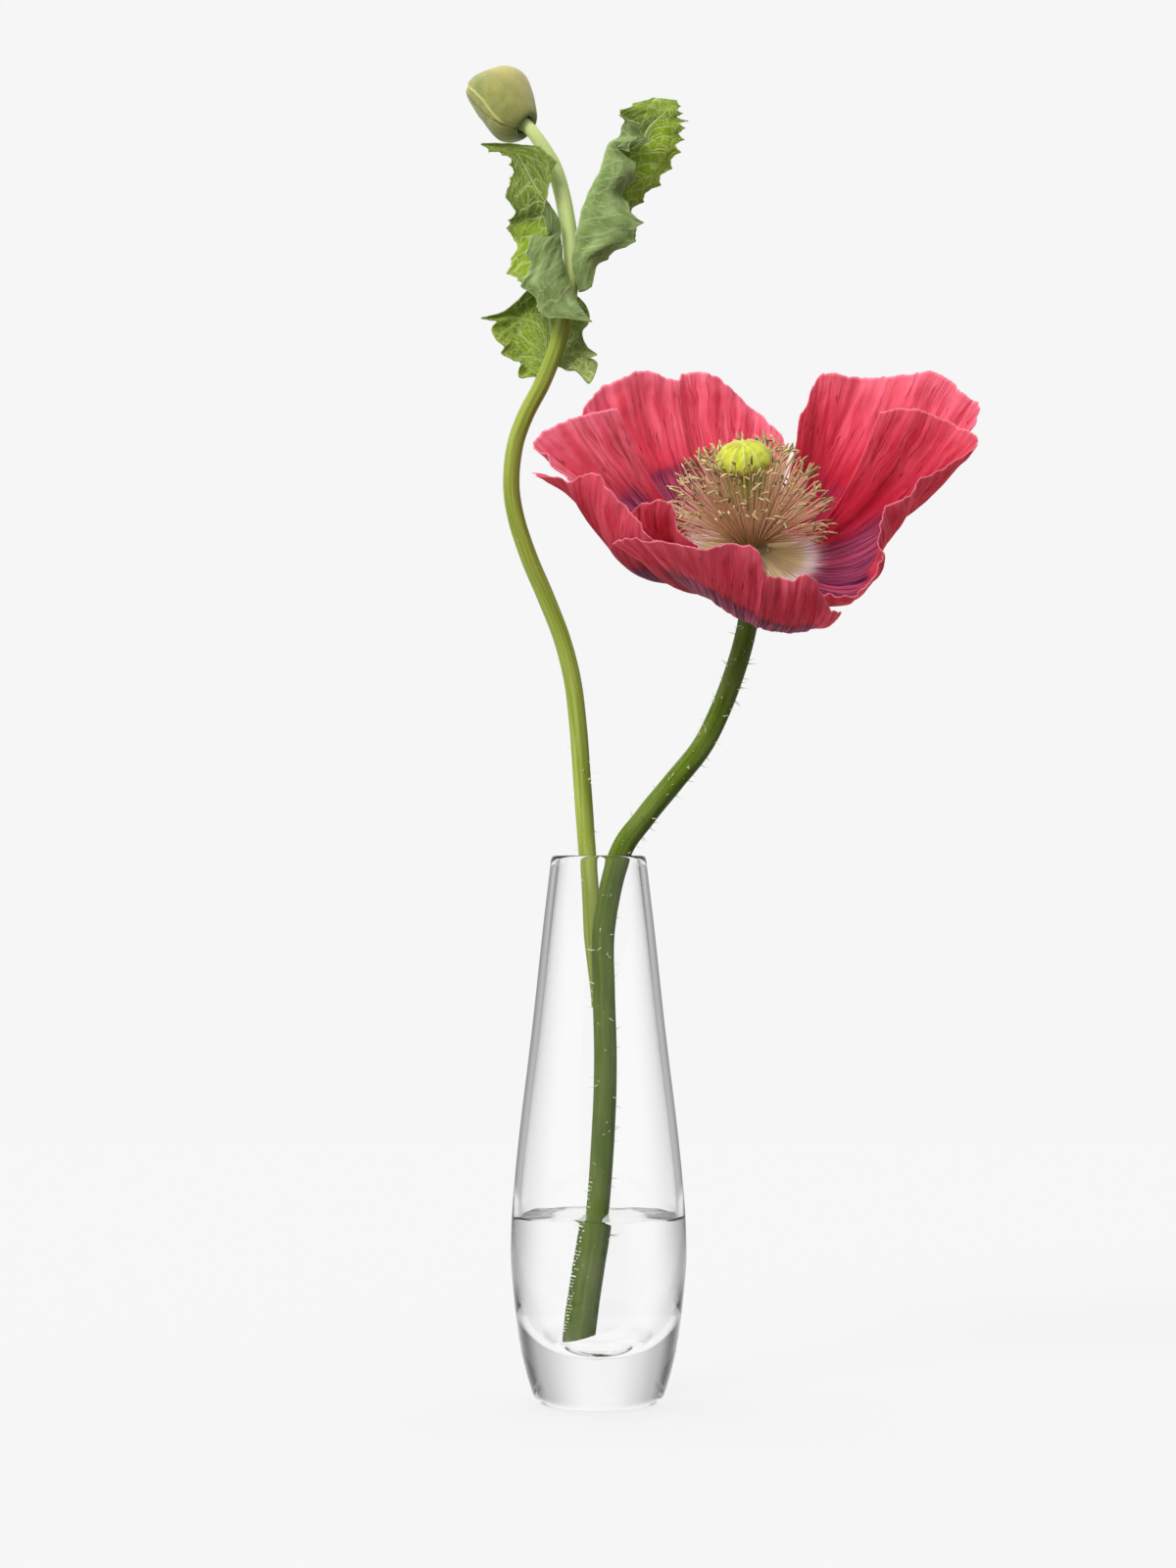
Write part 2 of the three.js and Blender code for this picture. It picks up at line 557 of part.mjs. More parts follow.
// The left leaf crosses the front of the stem, folded along its midrib, and opens towards its tip
const leftLeafNet = [
  [[2.6, -3.2, -10.1], [3.1, -3.1, -9.8], [3.7, -3, -9.6], [5.6, -4.5, -12.3], [7.4, -5.5, -14.3]],
  [[-2.5, -3.6, -8], [0.3, -3.8, -8], [2.9, -3.6, -8.2], [2.8, -7, -11.6], [-0.3, -8.5, -13.7]],
  [[-8.1, -3.2, -5.5], [-3.5, -4, -5.6], [1.2, -4, -4.9], [-2.8, -8.5, -9.3], [-8.8, -9, -12.4]],
  [[-13.4, -1.5, -2.8], [-7.1, -3, -2.8], [0.1, -4.2, -2.5], [-4.5, -8.8, -5.5], [-9.8, -9.5, -8.4]],
  [[-15.7, 0, -0.3], [-8.5, -2.4, -0.3], [-0.7, -4.2, 0], [-7.3, -9, -1.5], [-14.4, -9.2, -2.6]],
  [[-18.8, 1, 2], [-10.6, -2, 2.7], [-1.4, -4.2, 3.5], [-6.6, -8.6, 2.5], [-12, -8.8, 2]],
  [[-17.7, 1.5, 6], [-10.2, -1.8, 6.6], [-2.1, -4.2, 7.7], [-7, -8.2, 7], [-12.6, -8.5, 6]],
  [[-16.2, 1, 11.2], [-10.2, -1.8, 11.2], [-2.6, -4.2, 11.9], [-6.6, -7.8, 11.4], [-11.9, -8.2, 11.7]],
  [[-18.9, 0.5, 15], [-11.3, -1.8, 14.3], [-2.9, -4.2, 14.3], [-4.6, -6.5, 13.5], [-6.3, -7.8, 12.9]],
  [[-18.7, -0.5, 17], [-12, -2, 17.8], [-3.1, -4.4, 17.5], [-5.3, -7, 17.1], [-7.7, -8.5, 17.4]],
  [[-17.2, -3.5, 19.7], [-12.3, -4, 20.9], [-6.3, -5, 22.4], [-6.7, -7.2, 21.6], [-7.7, -9, 20.8]],
  [[-19.3, -5, 27.2], [-13.7, -5, 26.5], [-8.4, -5, 25.1], [-7.3, -6, 25.3], [-6.4, -7, 25.7]],
  [[-17.5, -5.5, 31.3], [-14.7, -5, 30.7], [-11.1, -4.8, 29.6], [-8.4, -6, 31.2], [-5.5, -7.5, 31]],
  [[-17.6, -6, 34.7], [-15.8, -5.5, 34.4], [-13.7, -5.2, 34.5], [-9.5, -6.4, 35], [-4.2, -8, 35.4]],
  [[-19.6, -6.2, 37.8], [-17.9, -6, 38.2], [-16.2, -6, 38.2], [-12.6, -7, 39.1], [-8.9, -8, 39.8]],
  [
    [-23.4, -6.4, 38.8], [-22.7, -6.3, 39.5], [-21.7, -6.2, 40.1], [-19.2, -6.8, 40.7],
    [-16.6, -7.4, 41],
  ],
  [
    [-27.1, -6.6, 40.8], [-27.1, -6.6, 40.9], [-27.3, -6.6, 41], [-27.1, -6.7, 41.2],
    [-26.8, -6.8, 41.4],
  ],
];

// The lower leaf spreads behind the stem like a collar: rows from its root to its toothed margin,
// which is given point by point
const lowerLeafNet = [
  [
    [-7.3, 3.8, -27.4], [-7.4, 3.9, -26.8], [-7.4, 4.1, -26], [-7.3, 4.3, -25.2], [-7, 4.4, -24.5],
    [-6.6, 4.5, -24], [-6.1, 4.6, -23.6], [-5.5, 4.7, -23.4], [-4.9, 4.6, -23.4], [-4.4, 4.5, -23.8],
    [-4, 4.3, -24.6], [-3.7, 4.1, -25.6], [-3.6, 3.9, -26.4], [-3.7, 3.7, -27],
  ],
  [
    [-9.1, 3.4, -28.6], [-10.7, 4, -27.7], [-11.6, 4.6, -25], [-11.3, 5.4, -21.6], [-10.7, 6.2, -18.6],
    [-9.4, 7, -15.2], [-7.3, 8, -12.8], [-4.6, 8.6, -12.2], [-0.9, 8.6, -13.7], [0.3, 7.6, -17.1],
    [0, 6.4, -20.7], [0, 5, -23.8], [-0.6, 4, -26.2], [-2.1, 3.3, -27.7],
  ],
  [
    [-10, 2.4, -29.8], [-13.1, 2.6, -27.7], [-15.8, 2.6, -25], [-16.7, 3.6, -20.1], [-16.4, 5.4, -15.8],
    [-14.3, 7, -11.3], [-10.4, 9, -7.6], [-4.3, 9.6, -6.4], [2.1, 8.6, -8.8], [3.7, 6.4, -14.6],
    [2.7, 4.6, -19.5], [4.3, 3, -23.1], [3, 1.6, -27.7], [-0.6, 1.6, -28.6],
  ],
  [
    [-9.2, 3.7, -30.6], [-11.6, 2, -30.6], [-15.2, 0, -31.1], [-15.5, -0.2, -28], [-14.3, 0, -25.8],
    [-17.1, 0, -25.5], [-20.8, -1, -23.6], [-19.9, -1, -21.5], [-22.3, -1, -19.4], [-24.1, -0.6, -15.8],
    [-22.6, 0.5, -13.2], [-27.4, -1.8, -12.6], [-20.5, 2, -10.2], [-16, 4, -6.4], [-12.4, 6.4, -2.6],
    [-6.1, 7.6, -1.2], [-1, 8, -2.4], [3.2, 7, -5], [6, 5, -9], [6.6, 3.6, -12.6], [4.7, 2.6, -15.8],
    [4.7, 2, -18.6], [5.9, 1, -21.4], [9, -0.4, -23.9], [6.3, -0.8, -24.8], [9, -1.6, -27],
    [6.5, -2.2, -33.2], [3.4, -1.6, -29.6], [0.4, -0.6, -27.8],
  ],
];

const leaves = {
  leaf_right: {
    surface: toothedSurface(netSurface(rightLeafNet), { teeth: 13, depth: 2, ruffle: 0.6 }),
    along: 30, across: 8,
  },
  leaf_left: {
    surface: toothedSurface(netSurface(leftLeafNet), { teeth: 14, depth: 1.1, ruffle: 0.4 }),
    along: 28, across: 8,
  },
  leaf_lower: {
    surface: netSurface(lowerLeafNet),
    along: 5, across: 28,
  },
};

function mesh(name, geometry, finishName) {
  const made = new THREE.Mesh(geometry, finish(finishName));
  made.name = name;
  return made;
}

const poppy = new THREE.Group();
poppy.add(mesh("vase", makeVase(), "clearGlass"));
poppy.add(mesh("water", makeWater(), "water"));
poppy.add(mesh("flower_stem", makeFlowerStem(), "flowerStem"));
poppy.add(mesh("bud_stem", makeBudStem(), "budStem"));

const bud = new THREE.Group();
const [upperSepal, lowerSepal] = makeSepals();
bud.add(mesh("bud_sepal_upper", upperSepal, "bud"));
bud.add(mesh("bud_sepal_lower", lowerSepal, "bud"));
bud.position.copy(budBase);
bud.rotation.set(radians(budTilt[0]), radians(budTilt[1]), 0, "YXZ");
poppy.add(bud);

const foliage = new THREE.Group();
for (const [name, leaf] of Object.entries(leaves)) {
  const blade = bladeSolid(leaf.surface, { ...leaf, thickness: leafThickness });
  foliage.add(mesh(name, blade, "leaf"));
}
foliage.position.copy(leafOrigin);
poppy.add(foliage);

const bloom = new THREE.Group();
for (const [name, petal] of Object.entries(petals)) {
  const blade = bladeSolid(petalSurface(petal), { ...petal, thickness: petalThickness });
  bloom.add(mesh(name, blade, "petal"));
}
const heart = new THREE.Group();
heart.add(mesh("stamens", makeStamens(), "stamen"));
heart.add(mesh("pistil", makePistil(), "pistil"));
heart.position.z = receptacleHeight;
heart.rotation.y = radians(pistilLean);
bloom.add(heart);
bloom.position.copy(bloomCentre);
bloom.rotation.x = radians(bloomTilt);
poppy.add(bloom);

export default poppy;
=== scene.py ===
# A poppy in a glass bud vase: petals, leaves, stamens, glass and water in their fine form,
# on a pale studio floor. The dictionaries are in millimetres and the scene is in metres.
import math
import random

import bpy
import numpy as np
from mathutils import Matrix, Vector, noise


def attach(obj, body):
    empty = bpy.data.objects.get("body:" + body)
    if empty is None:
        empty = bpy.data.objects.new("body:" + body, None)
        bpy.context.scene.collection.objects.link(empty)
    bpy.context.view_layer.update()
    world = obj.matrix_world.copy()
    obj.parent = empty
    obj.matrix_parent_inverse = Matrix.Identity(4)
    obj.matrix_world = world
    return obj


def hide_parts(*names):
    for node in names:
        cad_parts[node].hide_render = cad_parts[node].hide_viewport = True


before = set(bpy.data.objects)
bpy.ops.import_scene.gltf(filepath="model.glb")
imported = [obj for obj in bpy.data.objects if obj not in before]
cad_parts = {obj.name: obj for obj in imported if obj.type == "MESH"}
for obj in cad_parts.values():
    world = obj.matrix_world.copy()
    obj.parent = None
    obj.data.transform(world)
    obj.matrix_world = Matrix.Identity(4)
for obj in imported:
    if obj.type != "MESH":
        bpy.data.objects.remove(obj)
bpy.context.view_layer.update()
mm = 0.001


def lerp(a, b, share):
    return a + (b - a) * share


def smooth(x, low, high):
    share = np.clip((x - low) / (high - low), 0, 1)
    return share * share * (3 - 2 * share)


def roughness(x, y, seed=0.0):  # coherent noise between about -1 and 1, for whole arrays
    spots = np.broadcast_arrays(np.asarray(x, float), np.asarray(y, float))
    values = [noise.noise((a, b, seed)) for a, b in zip(spots[0].ravel(), spots[1].ravel())]
    return np.array(values).reshape(spots[0].shape)


def splineThrough(points, shares, even=True):  # Catmull-Rom, at shares from 0 to 1
    points = np.asarray(points, float)
    last = len(points) - 1
    held = np.vstack([2 * points[0] - points[1], points, 2 * points[-1] - points[-2]])
    place = np.atleast_1d(shares) * last
    start = np.clip(place.astype(int), 0, last - 1)
    t = (place - start)[:, None]
    a, b, c, d = (held[start + k] for k in range(4))
    if even:
        leaving, arriving = (c - a) / 2, (d - b) / 2
    else:
        ab, bc, cd = (
            np.maximum(np.linalg.norm(q - p, axis=1), 1e-6)[:, None] ** 0.5
            for p, q in ((a, b), (b, c), (c, d))
        )
        leaving = ((b - a) / ab - (c - a) / (ab + bc) + (c - b) / bc) * bc
        arriving = ((c - b) / bc - (d - b) / (bc + cd) + (d - c) / cd) * bc
    return (
        b
        + leaving * t
        + (3 * (c - b) - 2 * leaving - arriving) * t**2
        + (2 * (b - c) + leaving + arriving) * t**3
    )


def unit(vectors):
    return vectors / np.maximum(np.linalg.norm(vectors, axis=-1, keepdims=True), 1e-9)


def sheetNormals(places):  # of a net of points, rows by columns
    return unit(np.cross(np.gradient(places, axis=1), np.gradient(places, axis=0)))


def travelled(places, axis):  # millimetres covered along the rows or the columns
    steps = np.linalg.norm(np.diff(places, axis=axis), axis=-1)
    start = np.zeros_like(np.take(steps, [0], axis=axis))
    return np.concatenate([start, np.cumsum(steps, axis=axis)], axis=axis)


# Mesh pieces

def selectOnly(piece):
    bpy.ops.object.select_all(action="DESELECT")
    piece.select_set(True)
    bpy.context.view_layer.objects.active = piece


def sheetPiece(name, places, across=None, along=None, tones=None):
    rows, columns = places.shape[:2]
    bpy.ops.object.select_all(action="DESELECT")
    bpy.ops.mesh.primitive_grid_add(x_subdivisions=columns - 1, y_subdivisions=rows - 1, size=1)
    piece = bpy.context.object
    piece.name = piece.data.name = name
    mesh = piece.data
    mesh.vertices.foreach_set("co", (places * mm).astype(np.float32).ravel())
    corner = np.zeros(len(mesh.loops), int)
    mesh.loops.foreach_get("vertex_index", corner)
    if across is not None:  # the pattern's own map, in millimetres
        spots = np.stack([across.ravel(), along.ravel()], 1)[corner]
        mesh.uv_layers[0].name = "millimetres"
        mesh.uv_layers[0].data.foreach_set("uv", spots.astype(np.float32).ravel())
    if tones is not None:
        layer = mesh.color_attributes.new(name="tones", type="FLOAT_COLOR", domain="POINT")
        layer.data.foreach_set("color", tones.astype(np.float32).ravel())
    mesh.update()
    bpy.ops.object.shade_smooth()
    return piece


def closeUp(piece):  # joins the seam and the poles, and turns all faces outwards
    selectOnly(piece)
    bpy.ops.object.mode_set(mode="EDIT")
    bpy.ops.mesh.select_all(action="SELECT")
    bpy.ops.mesh.remove_doubles(threshold=2e-6)
    bpy.ops.mesh.normals_make_consistent(inside=False)
    bpy.ops.object.mode_set(mode="OBJECT")
    return piece


def ringPiece(name, rings, tones=None):  # rings of points, the last column on the first
    across = travelled(rings, 1)
    across = across.mean(0, keepdims=True) * np.ones_like(across)
    along = travelled(rings, 0).mean(1, keepdims=True) * np.ones_like(across)
    return closeUp(sheetPiece(name, rings, across, along, tones))


def turnedRings(profile, sides):
    turn = np.linspace(0, 2 * np.pi, sides + 1) + np.pi / 2
    turn[-1] = turn[0]
    r, z = profile[:, 0, None], profile[:, 1, None]
    return np.stack([r * np.cos(turn), r * np.sin(turn), z * np.ones_like(turn)], -1)


def tubeRings(line, radii, sides, relief=None):  # radii and relief in millimetres
    ahead = unit(np.gradient(line, axis=0))
    side = np.array([0.0, 1.0, 0.0])
    turn = np.linspace(0, 2 * np.pi, sides + 1)
    turn[-1] = 0
    rings = []
    for i, (centre, tangent) in enumerate(zip(line, ahead)):
        side = unit(side - side.dot(tangent) * tangent)
        up = np.cross(tangent, side)
        reach = radii[i] + (0 if relief is None else relief[i])
        rings.append(centre + (reach * np.cos(turn))[:, None] * side + (reach * np.sin(turn))[:, None] * up)
    ends = [np.repeat(line[[k]], sides + 1, axis=0) for k in (0, -1)]
    return np.array([ends[0], *rings, ends[1]])


def twin(piece):
    copy = piece.copy()
    copy.data = piece.data.copy()
    bpy.context.collection.objects.link(copy)
    return copy


def pointsOf(piece):  # in millimetres
    spots = np.empty(len(piece.data.vertices) * 3)
    piece.data.vertices.foreach_get("co", spots)
    return spots.reshape(-1, 3) / mm


def copiesAs(name, pattern, shapes):  # one copy of the pattern for each array of vertex places
    copies = []
    for spots in shapes:
        copies.append(twin(pattern))
        copies[-1].data.vertices.foreach_set("co", (spots * mm).astype(np.float32).ravel())
    bpy.data.objects.remove(pattern)
    selectOnly(copies[0])
    for copy in copies:
        copy.select_set(True)
    bpy.ops.object.join()
    bpy.context.object.name = bpy.context.object.data.name = name
    return bpy.context.object


def cutBelow(piece, place, normal):  # takes away what lies below the plane, and closes the cut
    selectOnly(piece)
    bpy.ops.object.mode_set(mode="EDIT")
    bpy.ops.mesh.select_all(action="SELECT")
    bpy.ops.mesh.bisect(plane_co=place, plane_no=normal, use_fill=True, clear_inner=True)
    bpy.ops.object.mode_set(mode="OBJECT")


def thicken(piece, thickness, materialOffset=0):
    selectOnly(piece)
    wall = piece.modifiers.new("Solidify", "SOLIDIFY")
    wall.thickness = thickness * mm
    wall.offset = 0
    wall.material_offset = materialOffset
    bpy.ops.object.modifier_apply(modifier=wall.name)


def dress(piece, materials, slotName, *nodes):
    for material in materials:
        piece.data.materials.append(material)
    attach(piece, "root")
    if nodes:
        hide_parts(*nodes)
    print(piece.name, len(piece.data.polygons), "faces")


def moveMesh(piece, matrix):
    piece.data.transform(matrix)
    piece.data.update()


# Materials

def colour(code):  # sRGB hex to linear
    parts = [int(code[k : k + 2], 16) / 255 for k in (1, 3, 5)]
    return [*(((c + 0.055) / 1.055) ** 2.4 if c > 0.04045 else c / 12.92 for c in parts), 1]


def feed(tree, node, inputs):  # a node given as a value stands for its first live output
    for key, value in inputs.items():
        if isinstance(value, bpy.types.Node):
            value = next(socket for socket in value.outputs if socket.enabled)
        if isinstance(value, bpy.types.NodeSocket):
            tree.links.new(value, node.inputs[key])
        else:
            node.inputs[key].default_value = value


def addNode(tree, kind, settings=None, inputs=None):
    node = tree.nodes.new("ShaderNode" + kind)
    for key, value in (settings or {}).items():
        setattr(node, key, value)
    feed(tree, node, inputs or {})
    return node


def startMaterial(name):
    material = bpy.data.materials.new(name)
    material.use_nodes = True
    tree = material.node_tree
    return material, tree, tree.nodes["Principled BSDF"]


mixColours = {"data_type": "RGBA"}
softRange = {"interpolation_type": "SMOOTHSTEP"}
product = {"operation": "MULTIPLY"}
productPlus = {"operation": "MULTIPLY_ADD"}
larger = {"operation": "MAXIMUM"}

# Studio: a camera at the height of the vase's rim, a white wall behind, grey flanks, and soft light
# from the left
studio = {
    "eye": (-3.3, -1320, 170), "target": (-3.3, 0, 192.2), "lens": 97.5, "backdrop": "#f6f6f6",
    "greys": {
        "behind": 0.99, "flank": 0.42, "side": 0.22, "table": 0.2, "front": 0.72, "glassEdge": 0.17,
        "bottom": 0.92, "bottomFlank": 0.48, "bottomSide": 0.1,
    },
    "sun": 3.5, "sunPlace": (-500, -600, 900), "sunTurn": (47, 0, -34), "sunSoftness": 24,
    "floorSize": (1600, 2400), "floorDrop": 0.2, "floorGlow": 0.745, "floorAlbedo": 0.08,
}


def makeCamera():
    eye, target = (Vector(studio[key]) * mm for key in ("eye", "target"))
    bpy.ops.object.camera_add(location=eye)
    camera = bpy.context.object
    camera.data.lens = studio["lens"]
    camera.data.clip_end = 100
    camera.rotation_euler = (target - eye).to_track_quat("-Z", "Y").to_euler()
    bpy.context.scene.camera = camera
    bpy.context.scene.view_settings.view_transform = "Standard"


def makeWalls():
    world = bpy.data.worlds.new("studioWalls")
    world.use_nodes = True
    bpy.context.scene.world = world
    tree = world.node_tree
    grey = {place: [level] * 3 + [1] for place, level in studio["greys"].items()}
    way = addNode(tree, "SeparateXYZ", inputs={0: addNode(tree, "TexCoord").outputs["Generated"]})
    x, y, z = (way.outputs[k] for k in range(3))  # the direction that a ray leaves in
    aside = addNode(tree, "Math", {"operation": "ABSOLUTE"}, {0: x})

    # What the glass bends and mirrors: white straight behind, grey flanks above the table's edge, dark sides
    flank = addNode(tree, "MapRange", softRange, {0: aside, 1: 0.12, 2: 0.8})
    side = addNode(tree, "MapRange", softRange, {0: aside, 1: 0.75, 2: 0.95})
    tableSide = addNode(tree, "MapRange", softRange, {0: aside, 1: 0.3, 2: 0.9})
    tableEdge = addNode(tree, "MapRange", softRange, {0: z, 1: -0.1, 2: -0.06})
    front = addNode(tree, "MapRange", softRange, {0: y, 1: 0.2, 2: -0.3})
    above = addNode(tree, "MapRange", softRange, {0: z, 1: 0.35, 2: 0.8})
    wall = addNode(tree, "Mix", mixColours, {0: flank, 6: grey["behind"], 7: grey["flank"]})
    wall = addNode(tree, "Mix", mixColours, {0: side, 6: wall, 7: grey["side"]})

    # The vase's solid bottom bends rays up, so this band of the wall shows in it alone
    bottomSpread = addNode(tree, "MapRange", softRange, {0: aside, 1: 0.1, 2: 0.7})
    bottomEdge = addNode(tree, "MapRange", softRange, {0: aside, 1: 0.6, 2: 0.85})
    bottom = addNode(tree, "Mix", mixColours, {0: bottomSpread, 6: grey["bottom"], 7: grey["bottomFlank"]})
    bottom = addNode(tree, "Mix", mixColours, {0: bottomEdge, 6: bottom, 7: grey["bottomSide"]})
    throughBottom = addNode(tree, "MapRange", softRange, {0: z, 1: 0.03, 2: 0.07})
    wall = addNode(tree, "Mix", mixColours, {0: throughBottom, 6: wall, 7: bottom})
    table = addNode(tree, "Mix", mixColours, {0: tableSide, 6: grey["behind"], 7: grey["table"]})
    wall = addNode(tree, "Mix", mixColours, {0: tableEdge, 6: table, 7: wall})
    wall = addNode(tree, "Mix", mixColours, {0: front, 6: wall, 7: grey["front"]})
    wall = addNode(tree, "Mix", mixColours, {0: above, 6: wall, 7: grey["behind"]})

    # What lights the flower: bright on the left and above, dimmer on the right
    fromLeft = addNode(tree, "MapRange", softRange, {0: x, 1: 0.3, 2: -0.9, 3: 0.35, 4: 1.15})
    fromBelow = addNode(tree, "MapRange", softRange, {0: z, 1: -0.4, 2: 0.1, 3: 0.45, 4: 1.0})
    fromTop = addNode(tree, "MapRange", softRange, {0: z, 1: 0.0, 2: 0.9, 4: 0.9})
    fromBack = addNode(tree, "MapRange", softRange, {0: y, 1: 0.0, 2: 0.9, 4: 1.2})
    light = addNode(tree, "Math", product, {0: fromLeft, 1: fromBelow})
    light = addNode(tree, "Math", inputs={0: light, 1: fromTop})
    light = addNode(tree, "Math", inputs={0: light, 1: fromBack})
    rays = addNode(tree, "LightPath")

    # Rays that stay inside the glass wall pass its surface twice, and see a dark edge there
    once = addNode(tree, "Math", {"operation": "LESS_THAN"}, {0: rays.outputs["Transmission Depth"], 1: 2.5})
    inWall = addNode(tree, "MapRange", softRange, {0: aside, 1: 0.75, 2: 0.15, 4: 0.85})
    inWall = addNode(tree, "Math", product, {0: inWall, 1: once})
    inWall = addNode(tree, "Math", product, {0: inWall, 1: tableEdge})
    inWall = addNode(tree, "Math", {"operation": "SUBTRACT", "use_clamp": True}, {
        0: inWall, 1: throughBottom,
    })
    wall = addNode(tree, "Mix", mixColours, {0: inWall, 6: wall, 7: grey["glassEdge"]})

    wall = addNode(tree, "Mix", mixColours, {0: rays.outputs["Is Diffuse Ray"], 6: wall, 7: light})
    backdrop = colour(studio["backdrop"])
    wall = addNode(tree, "Mix", mixColours, {0: rays.outputs["Is Camera Ray"], 6: wall, 7: backdrop})
    feed(tree, tree.nodes["Background"], {"Color": wall})


def makeStudio():
    makeCamera()
    makeWalls()
    bpy.ops.object.light_add(type="SUN", location=Vector(studio["sunPlace"]) * mm)
    sun = bpy.context.object
    sun.data.energy = studio["sun"]
    sun.data.angle = math.radians(studio["sunSoftness"])
    sun.rotation_euler = [math.radians(a) for a in studio["sunTurn"]]
    sun.visible_glossy = sun.visible_transmission = False

    # The floor glows for the camera alone, and takes the vase's soft shadow
    bpy.ops.mesh.primitive_plane_add(size=1, location=(0, 0, -studio["floorDrop"] * mm))
    floor = bpy.context.object
    floor.name = "floor"
    floor.scale = [side * mm for side in studio["floorSize"]] + [1]
    floor.visible_glossy = floor.visible_transmission = floor.visible_diffuse = False
    material, tree, shader = startMaterial("whitePaper")
    # Matt white paper, lit so evenly that it reads as the backdrop
    light = addNode(tree, "Emission", inputs={"Color": [studio["floorGlow"]] * 3 + [1], "Strength": 1})
    paper = addNode(tree, "BsdfDiffuse", inputs={"Color": [studio["floorAlbedo"]] * 3 + [1]})
    both = addNode(tree, "AddShader", inputs={0: light, 1: paper})
    feed(tree, tree.nodes["Material Output"], {"Surface": both})
    tree.nodes.remove(shader)
    floor.data.materials.append(material)
    print("studio ready")


# Vase and water
vase = {
    "sides": 160,
    "foot": [
        (0, 1.1), (8, 0.9), (14.2, 0.35), (16.6, 0), (18.1, 0.35), (19.4, 1.5), (20.3, 2.8), (20.9, 4.4),
    ],
    "outside": [
        (20.9, 4.4), (22.8, 11), (25, 21.6), (26.8, 38), (27.3, 48), (26.6, 63), (24.4, 85.6), (20.7, 116),
        (17.4, 146.5), (14.8, 168.6),
    ],
    "lip": [(14.8, 168.6), (14.45, 169.6), (13.6, 170), (13, 169.9), (12.5, 169.4), (12.3, 168.6)],
    "inside": [
        (0, 16.4), (6, 17.1), (11.4, 19.8), (15.1, 23.9), (18.1, 30), (21.3, 38), (23.8, 49), (24.2, 63),
        (21.9, 85.6), (18.2, 116), (14.9, 146.5), (12.3, 168.6),
    ],
    "steps": {"foot": 40, "outside": 90, "lip": 14, "inside": 110},
    "skin": "#fefefe", "bending": 1.5, "mirroring": 0.55,
}
water = {
    "level": 58.2, "intoGlass": 0.12, "meniscus": 0.5, "climb": 0.15, "edgeDrop": 0.4,
    "steps": 160, "edgeSteps": 12,
    "ripples": [(0.2, 3, 0.7), (0.16, 7, 2), (0.1, 13, 0)],  # height, waves round the rim, turn
    "rippleFrom": 12, "rippleTo": 23, "skin": "#fefefe", "bending": 1.333, "mirroring": 0.7,
}


def clearMaterial(name, kind):
    material, tree, shader = startMaterial(name)
    feed(tree, shader, {
        "Base Color": colour(kind["skin"]), "Roughness": 0.0, "Transmission Weight": 1.0,
        "IOR": kind["bending"], "Specular Tint": [kind["mirroring"]] * 3 + [1],
    })
    return material


def makeVase():
    foot, outside, lip, inside = (
        splineThrough(vase[part], np.linspace(0, 1, vase["steps"][part]))
        for part in ("foot", "outside", "lip", "inside")
    )
    profile = np.vstack([foot, outside[1:], lip[1:-1], inside[::-1]])
    profile[:, 0] = np.maximum(profile[:, 0], 0)
    profile[0, 0] = profile[-1, 0] = 0
    piece = ringPiece("vase_glass", turnedRings(profile, vase["sides"]))
    piece.visible_shadow = False
    # Soda-lime glass, blown and fire-polished: clear, with sharp reflections and dark edges
    dress(piece, [clearMaterial("clearSodaGlass", vase)], "glass", "vase")


def makeWater():
    level, climb, meniscus = water["level"], water["climb"], water["meniscus"]
    inside = splineThrough(vase["inside"], np.linspace(0, 1, water["steps"]))
    normals = unit(np.gradient(inside, axis=0))[:, ::-1] * (1, -1)  # points away from the axis, and down
    under = (inside + normals * water["intoGlass"])[inside[:, 1] < level + climb - water["edgeDrop"]]
    under[0] = (0, under[0, 1])
    edge = under[-1, 0]
    fall = np.linspace(0, 1, water["edgeSteps"])[1:]
    rim = np.stack([edge - meniscus * fall, level + climb * (1 - fall) ** 2], 1)
    flat = np.stack([lerp(edge - meniscus, 0, fall), np.full(len(fall), level)], 1)
    rings = turnedRings(np.vstack([under, rim, flat]), vase["sides"])
    turn, reach = np.arctan2(rings[..., 1], rings[..., 0]), np.hypot(rings[..., 0], rings[..., 1])
    ripple = sum(height * np.sin(turn * waves + shift) for height, waves, shift in water["ripples"])
    onTop = rings[..., 2] > level - 1
    rings[..., 2] += ripple * smooth(reach, water["rippleFrom"], water["rippleTo"]) * onTop
    piece = ringPiece("water_body", rings)
    piece.visible_shadow = False
    # Still tap water: as clear as the glass, and bends light less
    dress(piece, [clearMaterial("tapWater", water)], "water", "water")


# Stems
flowerStem = {
    "radius": 3.3, "taper": (1.12, 0.92), "swelling": 5, "swellSpan": (0.876, 0.909),
    "sides": 40, "steps": 330, "cut": (-4.6, 4, 20.2), "cutTilt": -20,
    "hairs": 190, "hairLength": (1.2, 3), "hairSpan": (0.1, 0.93), "hairSeed": 5,
    "colours": ("#405309", "#556716", "#d2daa2"), "paleSpan": (256, 270),
    "line": [
        (-4.9, 3.6, 15.5), (-2.9, 4.6, 36), (-0.4, 3.8, 58), (1.5, 2.2, 85.6), (2.1, 0.6, 106),
        (1.6, -1.2, 128), (1.7, -2.8, 148), (6.4, -4.6, 170), (14.2, -5.4, 181.8), (23.1, -4.4, 192.6),
        (31.8, -1.6, 203.4), (37.5, 1.4, 214.4), (42, 4, 226), (45.3, 4.6, 237), (47, 1.5, 246.3),
        (47.2, -3.7, 256.1), (47.2, -8.9, 266),
    ],
}
